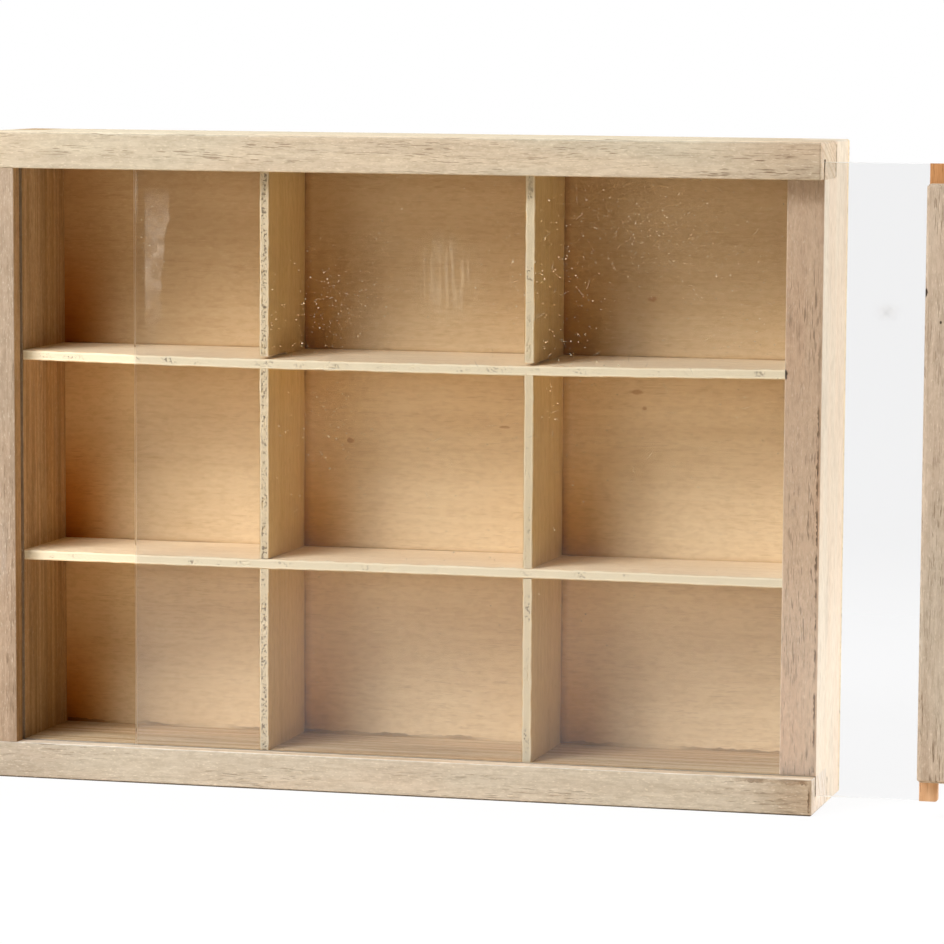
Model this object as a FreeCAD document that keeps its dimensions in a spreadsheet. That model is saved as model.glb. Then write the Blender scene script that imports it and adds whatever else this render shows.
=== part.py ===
"""Display case with nine compartments and a clear front that slides out to the right.

Frame: the origin is the centre of the face that the case stands on. X runs to the right, Y runs
from the open front to the back, and Z runs up. All lengths are millimetres.
"""
import FreeCAD, Part
import Sketcher
import os

# ---------------------------------------------------------------- driving dimensions
SIZES = {
    # the four boards of the frame
    "case_width": 262.0,
    "case_height": 200.0,
    "frame_depth": 45.0,
    "board_thickness": 11.2,
    "lip_thickness": 4.8,
    "groove_width": 2.4,
    "groove_depth": 6.0,
    "top_joint_depth": 26.0,
    "bottom_joint_depth": 24.0,
    "outer_arris": 0.8,
    "inner_arris": 0.4,
    # plywood back and the pins that hold it
    "back_thickness": 3.0,
    "brad_length": 14.0,
    "brad_diameter": 1.2,
    "brad_head_diameter": 2.2,
    "brad_head_thickness": 0.5,
    "brad_corner_inset": 30.0,
    "rail_brads": 4,
    "side_brads": 2,
    # plywood dividers and shelves
    "ply_thickness": 3.0,
    "cell_pitch_x": 83.3,
    "cell_pitch_z": 62.2,
    "front_setback": 0.3,
    "lap_clearance": 0.2,
    # sliding front: clear sheet, batten and guide tongue
    "sheet_thickness": 2.0,
    "running_clearance": 0.1,
    "floor_clearance": 0.3,
    "ceiling_clearance": 0.7,
    "closing_clearance": 0.7,
    "panel_opening": 42.4,
    "batten_width": 11.2,
    "batten_setback": 0.2,
    "batten_end_gap": 0.5,
    "tongue_inset": 0.2,
    "tongue_width": 5.5,
    "tongue_thickness": 2.1,
    "tongue_corner": 0.8,
}

doc = FreeCAD.newDocument("DisplayCase")
sheet = doc.addObject("Spreadsheet::Sheet", "Sizes")
for row, (alias, value) in enumerate(SIZES.items(), start=1):
    sheet.set(f"A{row}", alias)
    sheet.set(f"B{row}", str(value))
    sheet.setAlias(f"B{row}", alias)
doc.recompute()

# ---------------------------------------------------------------- planes of the case, as expressions
RIGHT = "(Sizes.case_width / 2)"
LEFT = "(-Sizes.case_width / 2)"
RIGHT_INNER = f"({RIGHT} - Sizes.board_thickness)"
LEFT_INNER = f"({LEFT} + Sizes.board_thickness)"
LEFT_GROOVE_BOTTOM = f"({LEFT_INNER} - Sizes.groove_depth)"

FRONT = "(-(Sizes.frame_depth + Sizes.back_thickness) / 2)"
FRAME_REAR = f"({FRONT} + Sizes.frame_depth)"
REAR = f"({FRAME_REAR} + Sizes.back_thickness)"
GROOVE_FRONT = f"({FRONT} + Sizes.lip_thickness)"
GROOVE_REAR = f"({GROOVE_FRONT} + Sizes.groove_width)"
TOP_JOINT = f"({FRONT} + Sizes.top_joint_depth)"
BOTTOM_JOINT = f"({FRONT} + Sizes.bottom_joint_depth)"
PLY_FRONT = f"({GROOVE_REAR} + Sizes.front_setback)"
PLY_MIDDLE = f"(({PLY_FRONT} + {FRAME_REAR}) / 2)"

BOTTOM = "0"
TOP = "Sizes.case_height"
FLOOR = "Sizes.board_thickness"
CEILING = f"({TOP} - Sizes.board_thickness)"
GROOVE_FLOOR = f"({FLOOR} - Sizes.groove_depth)"
GROOVE_CEILING = f"({CEILING} + Sizes.groove_depth)"

SHEET_FRONT = f"({GROOVE_FRONT} + Sizes.running_clearance)"
SHEET_BOTTOM = f"({GROOVE_FLOOR} + Sizes.floor_clearance)"
SHEET_TOP = f"({GROOVE_CEILING} - Sizes.ceiling_clearance)"
SHEET_LEFT = f"({LEFT_GROOVE_BOTTOM} + Sizes.closing_clearance)"
BATTEN_LEFT = f"({RIGHT} - Sizes.batten_width)"
TONGUE_LEFT = f"({BATTEN_LEFT} + Sizes.tongue_inset)"
TONGUE_RIGHT = f"({TONGUE_LEFT} + Sizes.tongue_width)"
TONGUE_REAR = f"({SHEET_FRONT} + Sizes.tongue_thickness)"

SIGNS = {"left": -1, "right": 1, "lower": -1, "upper": 1}


def divider_x(side):
    """X of the middle of the left or right divider."""
    return f"({SIGNS[side]} * Sizes.cell_pitch_x / 2)"


def shelf_z(level):
    """Z of the middle of the lower or upper shelf."""
    return f"({TOP} / 2 + {SIGNS[level]} * Sizes.cell_pitch_z / 2)"


def number(expression):
    """The present value of an expression in the sheet's sizes."""
    return float(sheet.evalExpression(expression))


# ---------------------------------------------------------------- helpers for bodies and sketches
def new_body(label):
    body = doc.addObject("PartDesign::Body", label)
    body.Label = label
    return body


def new_sketch(body, plane, name, offset="0"):
    """An empty sketch on one of the body's origin planes, moved along that plane's normal."""
    sketch = body.newObject("Sketcher::SketchObject", name)
    support = next(feature for feature in body.Origin.OriginFeatures if feature.Role == plane)
    sketch.AttachmentSupport = [(support, "")]
    sketch.MapMode = "FlatFace"
    sketch.setExpression("AttachmentOffset.Base.z", offset)
    return sketch


def pin_point(sketch, geometry, point, across, up):
    """Hold one point of a sketch at two expressions measured from the sketch's origin."""
    for kind, expression in (("DistanceX", across), ("DistanceY", up)):
        index = sketch.addConstraint(
            Sketcher.Constraint(kind, -1, 1, geometry, point, number(expression)))
        sketch.setExpression(f"Constraints[{index}]", expression)


def add_outline(sketch, corners):
    """Draw a closed outline of straight lines through corners given as pairs of expressions."""
    places = [FreeCAD.Vector(number(across), number(up), 0) for across, up in corners]
    count = len(corners)
    lines = [sketch.addGeometry(Part.LineSegment(place, places[(i + 1) % count]))
             for i, place in enumerate(places)]
    for i in range(count):
        sketch.addConstraint(Sketcher.Constraint("Coincident", lines[i], 2, lines[(i + 1) % count], 1))
        pin_point(sketch, lines[i], 1, *corners[i])


def add_rectangle(sketch, left, right, low, high):
    add_outline(sketch, [(left, low), (right, low), (right, high), (left, high)])


def add_circles(sketch, centres, diameter):
    """Draw equal circles round centres given as pairs of expressions."""
    for across, up in centres:
        centre = FreeCAD.Vector(number(across), number(up), 0)
        circle = sketch.addGeometry(Part.Circle(centre, FreeCAD.Vector(0, 0, 1), number(diameter) / 2))
        pin_point(sketch, circle, 3, across, up)
        index = sketch.addConstraint(Sketcher.Constraint("Diameter", circle, number(diameter)))
        sketch.setExpression(f"Constraints[{index}]", diameter)


def pad(sketch, length, middle=False):
    """Pad a sketch by a length along its normal, or evenly to both sides of it."""
    body = sketch.getParentGeoFeatureGroup()
    feature = body.newObject("PartDesign::Pad", f"{sketch.Name}Pad")
    feature.Profile = sketch
    feature.Midplane = middle
    feature.setExpression("Length", length)
    doc.recompute()


def pocket(sketch, depth=None, backwards=False):
    """Cut a sketch through the whole body, or to a depth; every cut has to take wood away."""
    body = sketch.getParentGeoFeatureGroup()
    before = body.Shape.Volume
    feature = body.newObject("PartDesign::Pocket", f"{sketch.Name}Pocket")
    feature.Profile = sketch
    if depth is None:
        feature.Type = "ThroughAll"
        feature.Midplane = True
    else:
        feature.Reversed = backwards
        feature.setExpression("Length", depth)
    doc.recompute()
    if not body.Shape.Volume < before:
        raise RuntimeError(f"{feature.Name} cuts nothing")


def edge_lies_on(edge, axis, expression):
    """True when both ends of an edge lie on the plane where axis ("x", "y" or "z") has this value."""
    value = number(expression)
    return all(abs(getattr(vertex.Point, axis) - value) < 1e-4 for vertex in edge.Vertexes)


def round_edges(body, name, radius, lines):
    """Round the straight edges along lines, each given as two (axis, expression) planes that meet in it."""
    base = body.Tip
    picked = [f"Edge{i}" for i, edge in enumerate(base.Shape.Edges, start=1)
              if any(all(edge_lies_on(edge, *plane) for plane in line) for line in lines)]
    feature = body.newObject("PartDesign::Fillet", name)
    feature.Base = (base, picked)
    feature.setExpression("Radius", radius)
    doc.recompute()


# The lines where two of the case's outer faces meet, which are rounded by hand after gluing.
SIDE_FACES = [("x", LEFT), ("x", RIGHT)]
DEPTH_FACES = [("y", FRONT), ("y", REAR)]
END_FACES = [("z", BOTTOM), ("z", TOP)]
FACE_PAIRS = [(SIDE_FACES, DEPTH_FACES), (SIDE_FACES, END_FACES), (DEPTH_FACES, END_FACES)]
OUTER_LINES = [(first, second) for group, other in FACE_PAIRS for first in group for second in other]


# ---------------------------------------------------------------- pins through the back
def spread(count, low, high):
    """Expressions for evenly spaced places from low to high."""
    steps = max(count - 1, 1)
    return [f"({low} + ({high} - {low}) * {i} / {steps})" for i in range(count)]


def rail_pins(height):
    """Pin centres, in X and Z, along one rail."""
    inset = "Sizes.brad_corner_inset"
    count = int(number("Sizes.rail_brads"))
    return [(x, height) for x in spread(count, f"({LEFT} + {inset})", f"({RIGHT} - {inset})")]


def side_pins(across):
    """Pin centres, in X and Z, along one side board, level with the shelves."""
    count = int(number("Sizes.side_brads"))
    return [(across, z) for z in spread(count, shelf_z("lower"), shelf_z("upper"))]


PINS = {
    "top_rail": rail_pins(f"({TOP} - Sizes.board_thickness / 2)"),
    "bottom_rail": rail_pins("(Sizes.board_thickness / 2)"),
    "left_side": side_pins(f"({LEFT} + Sizes.board_thickness / 2)"),
    "right_side": side_pins(f"({RIGHT} - Sizes.board_thickness / 2)"),
}
PIN_DEPTH = "(Sizes.brad_length - Sizes.back_thickness)"
# A sketch on the XZ plane faces the front, so its offset runs against Y.
AT_REAR = f"(-{REAR})"
AT_FRAME_REAR = f"(-{FRAME_REAR})"


def drill_pin_holes(body):
    """Blind holes for the pins in the rear edge of a board."""
    sketch = new_sketch(body, "XZ_Plane", f"{body.Name}_pins", AT_FRAME_REAR)
    add_circles(sketch, PINS[body.Label], "Sizes.brad_diameter")
    pocket(sketch, PIN_DEPTH, backwards=True)


# ---------------------------------------------------------------- the frame's four boards
def make_rail(label, outer, inner, groove_end, joint):
    """A rail: its section with lip and groove over the full width, notched behind for the side boards."""
    body = new_body(label)
    section = new_sketch(body, "YZ_Plane", f"{label}_section")
    add_outline(section, [
        (FRONT, outer), (FRAME_REAR, outer), (FRAME_REAR, inner), (GROOVE_REAR, inner),
        (GROOVE_REAR, groove_end), (GROOVE_FRONT, groove_end), (GROOVE_FRONT, inner), (FRONT, inner),
    ])
    pad(section, "Sizes.case_width", middle=True)
    notches = new_sketch(body, "XY_Plane", f"{label}_notches")
    add_rectangle(notches, LEFT, LEFT_INNER, joint, FRAME_REAR)
    add_rectangle(notches, RIGHT_INNER, RIGHT, joint, FRAME_REAR)
    pocket(notches)
    drill_pin_holes(body)
    round_edges(body, f"{label}_outer", "Sizes.outer_arris", OUTER_LINES)
    round_edges(body, f"{label}_inner", "Sizes.inner_arris", [(("y", FRONT), ("z", inner))])
    return body


def notch_for_rails(body, front):
    """Cut the front of a side board away above and below, where the rails' front fingers lie."""
    notches = new_sketch(body, "YZ_Plane", f"{body.Name}_notches")
    add_rectangle(notches, front, TOP_JOINT, CEILING, TOP)
    add_rectangle(notches, front, BOTTOM_JOINT, BOTTOM, FLOOR)
    pocket(notches)


def make_left_side():
    """The closed side: full depth, with the lip and the groove that the clear sheet closes into."""
    body = new_body("left_side")
    section = new_sketch(body, "XY_Plane", "left_side_section")
    add_outline(section, [
        (LEFT, FRONT), (LEFT_INNER, FRONT),
        (LEFT_INNER, GROOVE_FRONT), (LEFT_GROOVE_BOTTOM, GROOVE_FRONT),
        (LEFT_GROOVE_BOTTOM, GROOVE_REAR), (LEFT_INNER, GROOVE_REAR),
        (LEFT_INNER, FRAME_REAR), (LEFT, FRAME_REAR),
    ])
    pad(section, TOP)
    notch_for_rails(body, FRONT)
    drill_pin_holes(body)
    round_edges(body, "left_side_outer", "Sizes.outer_arris", OUTER_LINES)
    round_edges(body, "left_side_inner", "Sizes.inner_arris", [(("y", FRONT), ("x", LEFT_INNER))])
    return body


def make_right_side():
    """The open side: its front face lies behind the groove, so that the clear sheet passes before it."""
    body = new_body("right_side")
    section = new_sketch(body, "XY_Plane", "right_side_section")
    add_rectangle(section, RIGHT_INNER, RIGHT, GROOVE_REAR, FRAME_REAR)
    pad(section, TOP)
    notch_for_rails(body, GROOVE_REAR)
    drill_pin_holes(body)
    round_edges(body, "right_side_outer", "Sizes.outer_arris", OUTER_LINES)
    round_edges(body, "right_side_inner", "Sizes.inner_arris",
                [(("y", GROOVE_REAR), ("x", RIGHT)), (("y", GROOVE_REAR), ("x", RIGHT_INNER))])
    return body


# ---------------------------------------------------------------- the back and its pins
def make_back_panel():
    """Plywood laid on the back of the four boards, drilled and sunk for the pins."""
    body = new_body("back_panel")
    plate = new_sketch(body, "XZ_Plane", "back_panel_plate", AT_REAR)
    add_rectangle(plate, LEFT, RIGHT, BOTTOM, TOP)
    pad(plate, "Sizes.back_thickness")
    centres = [centre for board in PINS.values() for centre in board]
    holes = new_sketch(body, "XZ_Plane", "back_panel_holes", AT_REAR)
    add_circles(holes, centres, "Sizes.brad_diameter")
    pocket(holes)
    sinks = new_sketch(body, "XZ_Plane", "back_panel_sinks", AT_REAR)
    add_circles(sinks, centres, "Sizes.brad_head_diameter")
    pocket(sinks, "Sizes.brad_head_thickness", backwards=True)
    round_edges(body, "back_panel_outer", "Sizes.outer_arris", OUTER_LINES)
    return body


def make_back_brads():
    """All the pins as one group: each a shank with a flat head that lies flush with the back."""
    body = new_body("back_brads")
    body.AllowCompound = True
    centres = [centre for board in PINS.values() for centre in board]
    shanks = new_sketch(body, "XZ_Plane", "brad_shanks", AT_REAR)
    add_circles(shanks, centres, "Sizes.brad_diameter")
    pad(shanks, "Sizes.brad_length")
    heads = new_sketch(body, "XZ_Plane", "brad_heads", AT_REAR)
    add_circles(heads, centres, "Sizes.brad_head_diameter")
    pad(heads, "Sizes.brad_head_thickness")
    return body


# ---------------------------------------------------------------- shelves and dividers
HALF_SLOT = "((Sizes.ply_thickness + Sizes.lap_clearance) / 2)"
HALF_LAP = "(Sizes.lap_clearance / 2)"


def make_shelf(level):
    """A shelf across the whole inside, slotted from the rear where the dividers cross it."""
    body = new_body(f"{level}_shelf")
    plate = new_sketch(body, "XY_Plane", f"{level}_shelf_plate")
    add_rectangle(plate, LEFT_INNER, RIGHT_INNER, PLY_FRONT, FRAME_REAR)
    pad(plate, "Sizes.ply_thickness", middle=True)
    slots = new_sketch(body, "XY_Plane", f"{level}_shelf_slots")
    for side in ("left", "right"):
        add_rectangle(slots, f"({divider_x(side)} - {HALF_SLOT})", f"({divider_x(side)} + {HALF_SLOT})",
                      f"({PLY_MIDDLE} - {HALF_LAP})", FRAME_REAR)
    pocket(slots)
    body.setExpression("Placement.Base.z", shelf_z(level))
    return body


def make_divider(side):
    """A divider over the whole inner height, slotted from the front where the shelves cross it."""
    body = new_body(f"{side}_divider")
    plate = new_sketch(body, "YZ_Plane", f"{side}_divider_plate")
    add_rectangle(plate, PLY_FRONT, FRAME_REAR, FLOOR, CEILING)
    pad(plate, "Sizes.ply_thickness", middle=True)
    slots = new_sketch(body, "YZ_Plane", f"{side}_divider_slots")
    for level in ("lower", "upper"):
        add_rectangle(slots, PLY_FRONT, f"({PLY_MIDDLE} + {HALF_LAP})",
                      f"({shelf_z(level)} - {HALF_SLOT})", f"({shelf_z(level)} + {HALF_SLOT})")
    pocket(slots)
    body.setExpression("Placement.Base.x", divider_x(side))
    return body


# ---------------------------------------------------------------- the sliding front
# Its three pieces are drawn where they lie with the case shut, and their Placement opens them.
def open_front(body):
    body.setExpression("Placement.Base.x", "Sizes.panel_opening")
    return body


def make_clear_panel():
    """The clear sheet, which butts against the guide tongue."""
    body = new_body("clear_panel")
    section = new_sketch(body, "XY_Plane", "clear_panel_section", SHEET_BOTTOM)
    add_rectangle(section, SHEET_LEFT, TONGUE_LEFT, SHEET_FRONT, f"({SHEET_FRONT} + Sizes.sheet_thickness)")
    pad(section, f"({SHEET_TOP} - {SHEET_BOTTOM})")
    return open_front(body)


def make_guide_tongue():
    """The hardwood strip whose ends stand out of the batten and run in the rails' grooves."""
    body = new_body("guide_tongue")
    section = new_sketch(body, "XY_Plane", "guide_tongue_section", SHEET_BOTTOM)
    add_rectangle(section, TONGUE_LEFT, TONGUE_RIGHT, SHEET_FRONT, TONGUE_REAR)
    pad(section, f"({SHEET_TOP} - {SHEET_BOTTOM})")
    round_edges(body, "guide_tongue_corners", "Sizes.tongue_corner",
                [(("x", TONGUE_RIGHT), ("z", SHEET_TOP)), (("x", TONGUE_RIGHT), ("z", SHEET_BOTTOM))])
    return open_front(body)


def make_end_batten():
    """The batten between the rails, rebated behind for the tongue.

    Shut, it lies flush with the case's right side.
    """
    front = f"({FRONT} + Sizes.batten_setback)"
    low = f"({FLOOR} + Sizes.batten_end_gap)"
    high = f"({CEILING} - Sizes.batten_end_gap)"
    body = new_body("end_batten")
    section = new_sketch(body, "XY_Plane", "end_batten_section", low)
    add_outline(section, [
        (BATTEN_LEFT, front), (RIGHT, front), (RIGHT, TONGUE_REAR), (TONGUE_RIGHT, TONGUE_REAR),
        (TONGUE_RIGHT, SHEET_FRONT), (BATTEN_LEFT, SHEET_FRONT),
    ])
    pad(section, f"({high} - {low})")
    uprights = [(("x", x), ("y", front)) for x in (BATTEN_LEFT, RIGHT)]
    ends = [(("z", z), ("y", front)) for z in (low, high)]
    round_edges(body, "end_batten_edges", "Sizes.outer_arris", uprights + ends)
    return open_front(body)


# ---------------------------------------------------------------- build, check and write
PIECES = [
    make_rail("top_rail", TOP, CEILING, GROOVE_CEILING, TOP_JOINT),
    make_rail("bottom_rail", BOTTOM, FLOOR, GROOVE_FLOOR, BOTTOM_JOINT),
    make_left_side(),
    make_right_side(),
    make_back_panel(),
    make_back_brads(),
    make_shelf("lower"),
    make_shelf("upper"),
    make_divider("left"),
    make_divider("right"),
    make_clear_panel(),
    make_guide_tongue(),
    make_end_batten(),
]
doc.recompute()

for item in doc.Objects:
    if "Invalid" in item.State or "Error" in item.State:
        raise RuntimeError(f"{item.Label} failed: {item.State}")
for piece in PIECES:
    if piece.Shape.isNull() or not piece.Shape.isValid():
        raise RuntimeError(f"{piece.Label} has no valid shape")

os.makedirs("parts", exist_ok=True)
for piece in PIECES:
    piece.Shape.exportStep(os.path.join("parts", f"{piece.Label}.step"))
    box = piece.Shape.BoundBox
    print(f"{piece.Label:14s} {len(piece.Shape.Solids):2d} solid(s), {piece.Shape.Volume / 1000:7.2f} cm3, "
          f"X {box.XMin:.2f} to {box.XMax:.2f}, Y {box.YMin:.2f} to {box.YMax:.2f}, "
          f"Z {box.ZMin:.2f} to {box.ZMax:.2f}")
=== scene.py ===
# %% [markdown]
# # A small wooden display case with a sliding clear front
# The case is a frame of four soft, pale boards with a plywood back, plywood shelves and dividers
# half lapped into nine compartments, and a clear sheet that slides in grooves behind the front lips.
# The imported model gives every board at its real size, so it is loaded first and is never moved here.
# %% Load the frame
import math

import bpy
import numpy as np
from mathutils import Matrix, Vector


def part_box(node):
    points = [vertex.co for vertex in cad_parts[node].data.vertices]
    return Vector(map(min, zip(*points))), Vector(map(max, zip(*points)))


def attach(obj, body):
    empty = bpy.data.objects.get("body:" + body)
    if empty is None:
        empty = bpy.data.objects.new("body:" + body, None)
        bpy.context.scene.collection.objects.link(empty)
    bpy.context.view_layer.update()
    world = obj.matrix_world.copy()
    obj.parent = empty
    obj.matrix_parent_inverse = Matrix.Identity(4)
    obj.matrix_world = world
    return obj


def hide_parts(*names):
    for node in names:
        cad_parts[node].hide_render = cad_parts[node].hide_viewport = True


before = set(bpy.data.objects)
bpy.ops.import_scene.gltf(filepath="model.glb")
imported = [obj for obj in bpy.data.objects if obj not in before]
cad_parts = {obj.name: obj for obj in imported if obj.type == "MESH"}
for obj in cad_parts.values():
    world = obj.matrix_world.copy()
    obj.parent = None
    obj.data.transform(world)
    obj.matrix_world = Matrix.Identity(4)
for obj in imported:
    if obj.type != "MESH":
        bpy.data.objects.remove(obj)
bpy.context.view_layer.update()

MM = 0.001
print("nodes:", ", ".join(sorted(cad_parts)))

# %% [markdown]
# ## Camera
# A long lens stands more than a metre away, to the right of the case and a little above it, so the
# outer face of the right board shows and the upright lines stay nearly upright. The camera is built
# from three turns: yaw to the left, pitch down and a slight roll. A small shift slides the picture
# sideways in the frame, so that the case may run out of it on the left.
# %% Camera
IMAGE_SIZE = 944
FOCAL_PIXELS = 4389.0
CENTRE_PIXEL = (560.0, 566.6)
CAMERA_PLACE = Vector((361.5, -1293.9, 228.3)) * MM
YAW, PITCH, ROLL = (math.radians(angle) for angle in (13.64, 6.81, -0.46))


def make_camera():
    """Camera axes in words: forward is +Y turned left by yaw and down by pitch; roll turns right into down."""
    forward = Vector((-math.sin(YAW) * math.cos(PITCH), math.cos(YAW) * math.cos(PITCH), -math.sin(PITCH)))
    level_right = Vector((math.cos(YAW), math.sin(YAW), 0))
    level_down = forward.cross(level_right)
    right = math.cos(ROLL) * level_right + math.sin(ROLL) * level_down
    down = math.cos(ROLL) * level_down - math.sin(ROLL) * level_right
    data = bpy.data.cameras.new("camera")
    data.sensor_width = 36
    data.lens = FOCAL_PIXELS / IMAGE_SIZE * data.sensor_width
    data.shift_x = (IMAGE_SIZE / 2 - CENTRE_PIXEL[0]) / IMAGE_SIZE
    data.shift_y = (CENTRE_PIXEL[1] - IMAGE_SIZE / 2) / IMAGE_SIZE
    data.clip_start, data.clip_end = 0.05, 50
    camera = bpy.data.objects.new("camera", data)
    camera.matrix_world = Matrix((
        (right.x, -down.x, -forward.x, CAMERA_PLACE.x),
        (right.y, -down.y, -forward.y, CAMERA_PLACE.y),
        (right.z, -down.z, -forward.z, CAMERA_PLACE.z),
        (0, 0, 0, 1)))
    bpy.context.scene.collection.objects.link(camera)
    bpy.context.scene.camera = camera
    print(f"camera: lens {data.lens:.1f} mm, shift {data.shift_x:.3f}, {data.shift_y:.3f}")


make_camera()

# %% [markdown]
# ## Light
# The case is lit as a small thing on a table would be: by soft boxes, which are area lamps that face
# its middle. Two of them high in front and to the left do most of the work, and leave the upper left of
# every compartment in shade. A low one on that side lifts the shadows, one overhead evens the tops,
# and one far to the right lights only the outer right face. The last keeps the back from going dark.
# %% Soft boxes
CASE_MIDDLE = (0.0, 0.0, 0.1)


def soft_box(name, place, size, power):
    """A rectangular area light at place that faces the case; no ray sees the lamp itself."""
    data = bpy.data.lights.new(name, "AREA")
    data.shape = "RECTANGLE"
    data.size, data.size_y = size
    data.energy = power
    lamp = bpy.data.objects.new(name, data)
    lamp.location = place
    lamp.visible_camera = False
    lamp.visible_glossy = False
    lamp.rotation_euler = (Vector(CASE_MIDDLE) - Vector(place)).to_track_quat("-Z", "Y").to_euler()
    bpy.context.scene.collection.objects.link(lamp)
    print(f"{name}: {power:.1f} W from {size[0]} x {size[1]} m")


soft_box("key_left", (-0.87, -0.97, 0.85), (0.45, 0.45), 9.0)
soft_box("key_high", (-0.49, -0.92, 1.18), (0.62, 0.40), 14.0)
soft_box("low_left", (-0.74, -1.29, 0.31), (0.5, 0.3), 3.5)
soft_box("overhead", (0.0, -0.2, 1.6), (0.5, 0.5), 6.0)
soft_box("right_fill", (1.3, 0.35, 0.35), (0.7, 0.9), 17.5)
soft_box("back_fill", (-0.6, 1.5, 0.9), (0.8, 0.8), 9.0)

# %% [markdown]
# ## Nodes, written briefly
# Materials, the world and the node groups are all node trees. A small helper adds a node, sets its
# options and fills its inputs with values or with the outputs of other nodes, so that each
# material below reads as a list of what it does.
# %% Node helper
class Nodes:
    """Adds nodes to one tree; inputs are a dict of name or index to a value or another node's output."""

    def __init__(self, tree):
        self.tree = tree
        tree.nodes.clear()

    def add(self, kind, inputs=None, **options):
        node = self.tree.nodes.new(f"ShaderNode{kind}")
        for key, value in options.items():
            setattr(node, key, value)
        for key, value in (inputs or {}).items():
            if isinstance(value, bpy.types.NodeSocket):
                self.tree.links.new(value, node.inputs[key])
            else:
                node.inputs[key].default_value = value
        return node

    def math(self, operation, first, second=0.0, third=0.0):
        """One Math node; returns its output."""
        return self.add("Math", {0: first, 1: second, 2: third}, operation=operation).outputs[0]

    def scaled(self, vector, factors):
        """A vector times three factors."""
        node = self.add("VectorMath", {0: vector, 1: factors}, operation="MULTIPLY")
        return node.outputs[0]

    def noise(self, vector, detail=2.0, roughness=0.5):
        """Perlin noise of about 0.5, one feature to a unit of the vector."""
        inputs = {"Vector": vector, "Scale": 1.0, "Detail": detail, "Roughness": roughness}
        return self.add("TexNoise", inputs).outputs[0]

    def ramp(self, value, low, high, to_low=0.0, to_high=1.0):
        """A value from low to high made to run smoothly from to_low to to_high, and held beyond them."""
        inputs = {"Value": value, "From Min": low, "From Max": high, "To Min": to_low, "To Max": to_high}
        return self.add("MapRange", inputs, interpolation_type="SMOOTHSTEP").outputs[0]

    def mix(self, factor, first, second, blend="MIX"):
        """Two colours mixed by a factor; 6, 7 and output 2 are the node's colour sockets."""
        node = self.add("Mix", {0: factor, 6: first, 7: second}, data_type="RGBA", blend_type=blend)
        return node.outputs[2]


# %% [markdown]
# ## Surroundings
# Clear acrylic shows whatever stands around it, so the surroundings are made for it. A ray that sees
# them from the camera, or straight through the sheet, finds plain white. One that the sheet mirrors
# finds white behind the case and a dim room in front of it, as in a real studio. The rays that light
# the wood find almost nothing, so the lamps alone set its tone.
# %% World
WORLD_LIGHT = 0.015
ROOM_BEHIND_CAMERA = 0.06


def mirrored_only(nodes, path):
    """1 for a ray that was mirrored, on a sheet's near or far face, and 0 for one that went straight through.

    Straight through a sheet takes two steps; a ray that its far face has turned back takes three.
    """
    through = nodes.math("MULTIPLY", path.outputs["Is Transmission Ray"],
                         nodes.math("LESS_THAN", path.outputs["Ray Depth"], 2.5))
    return nodes.math("MULTIPLY", path.outputs["Is Glossy Ray"], nodes.math("SUBTRACT", 1.0, through))


def seen_directly(nodes, path):
    """1 for a ray from the camera, or one that has come through the sheet."""
    return nodes.math("MAXIMUM", path.outputs["Is Camera Ray"], path.outputs["Is Transmission Ray"])


def make_world():
    """White for every ray that sees it; a mirrored ray finds the room in front of the object dim."""
    world = bpy.data.worlds.new("studio")
    bpy.context.scene.world = world
    world.use_nodes = True
    nodes = Nodes(world.node_tree)
    direction = nodes.add("SeparateXYZ", {0: nodes.add("TexCoord").outputs["Generated"]})
    backwards = nodes.ramp(direction.outputs["Y"], -0.5, 0.0, ROOM_BEHIND_CAMERA, 1.0)
    path = nodes.add("LightPath")
    light = nodes.add("Background", {"Color": (1.0, 0.95, 0.88, 1), "Strength": WORLD_LIGHT})
    mirrored = nodes.add("Background", {"Color": (1, 1, 1, 1), "Strength": backwards})
    white = nodes.add("Background", {"Color": (1, 1, 1, 1), "Strength": 1.0})
    seen = nodes.add("MixShader", {0: seen_directly(nodes, path), 1: light.outputs[0], 2: white.outputs[0]})
    mix = nodes.add("MixShader", {0: mirrored_only(nodes, path), 1: seen.outputs[0], 2: mirrored.outputs[0]})
    nodes.add("OutputWorld", {"Surface": mix.outputs[0]})


make_world()
bpy.context.scene.view_settings.view_transform = "Standard"
print("world:", bpy.context.scene.world.name)

# %% [markdown]
# ## From numbers to pieces
# Every new piece below is a surface worked out with numpy, in metres and in the case's own place. One
# helper turns its points and faces into a mesh, gives it a material, and says on which body it rides.
# Another stores a value for each point, which a material can then read.
# %% Mesh helpers
def new_piece(name, vertices, faces, material, body):
    """A mesh object at the origin that rides on a body."""
    mesh = bpy.data.meshes.new(name)
    mesh.from_pydata(vertices.tolist(), [], faces.tolist())
    mesh.update()
    piece = bpy.data.objects.new(name, mesh)
    bpy.context.scene.collection.objects.link(piece)
    mesh.materials.append(material)
    if body:
        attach(piece, body)
    print(f"{name}: {len(vertices)} vertices, {len(faces)} faces")
    return piece


def write_values(piece, name, values):
    """Stores one number for each point of the piece's mesh."""
    attribute = piece.data.attributes.new(name, "FLOAT", "POINT")
    attribute.data.foreach_set("value", values.astype(np.float32))


def new_material(name):
    """An empty material and its node helper."""
    material = bpy.data.materials.new(name)
    material.use_nodes = True
    return material, Nodes(material.node_tree)


# %% [markdown]
# ## Floor
# The case stands on pale paper. Close by, the paper is a real matt surface that takes a soft shadow and
# throws light up into the compartments. Further off, for the camera alone, it is a plain white that
# the background carries on, so that no horizon shows.
# %% Floor
FLOOR_HALF = 6.0
FLOOR_RADIUS = 0.45
FLOOR_WHITENESS = 0.93
MIRROR_STRENGTH = 0.8
MIRRORED_NEAR, MIRRORED_FAR = 0.3, 0.8
PAPER_SEEN, PAPER_THROWN = (0.95, 0.945, 0.94, 1), (0.92, 0.74, 0.52, 1)


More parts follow.
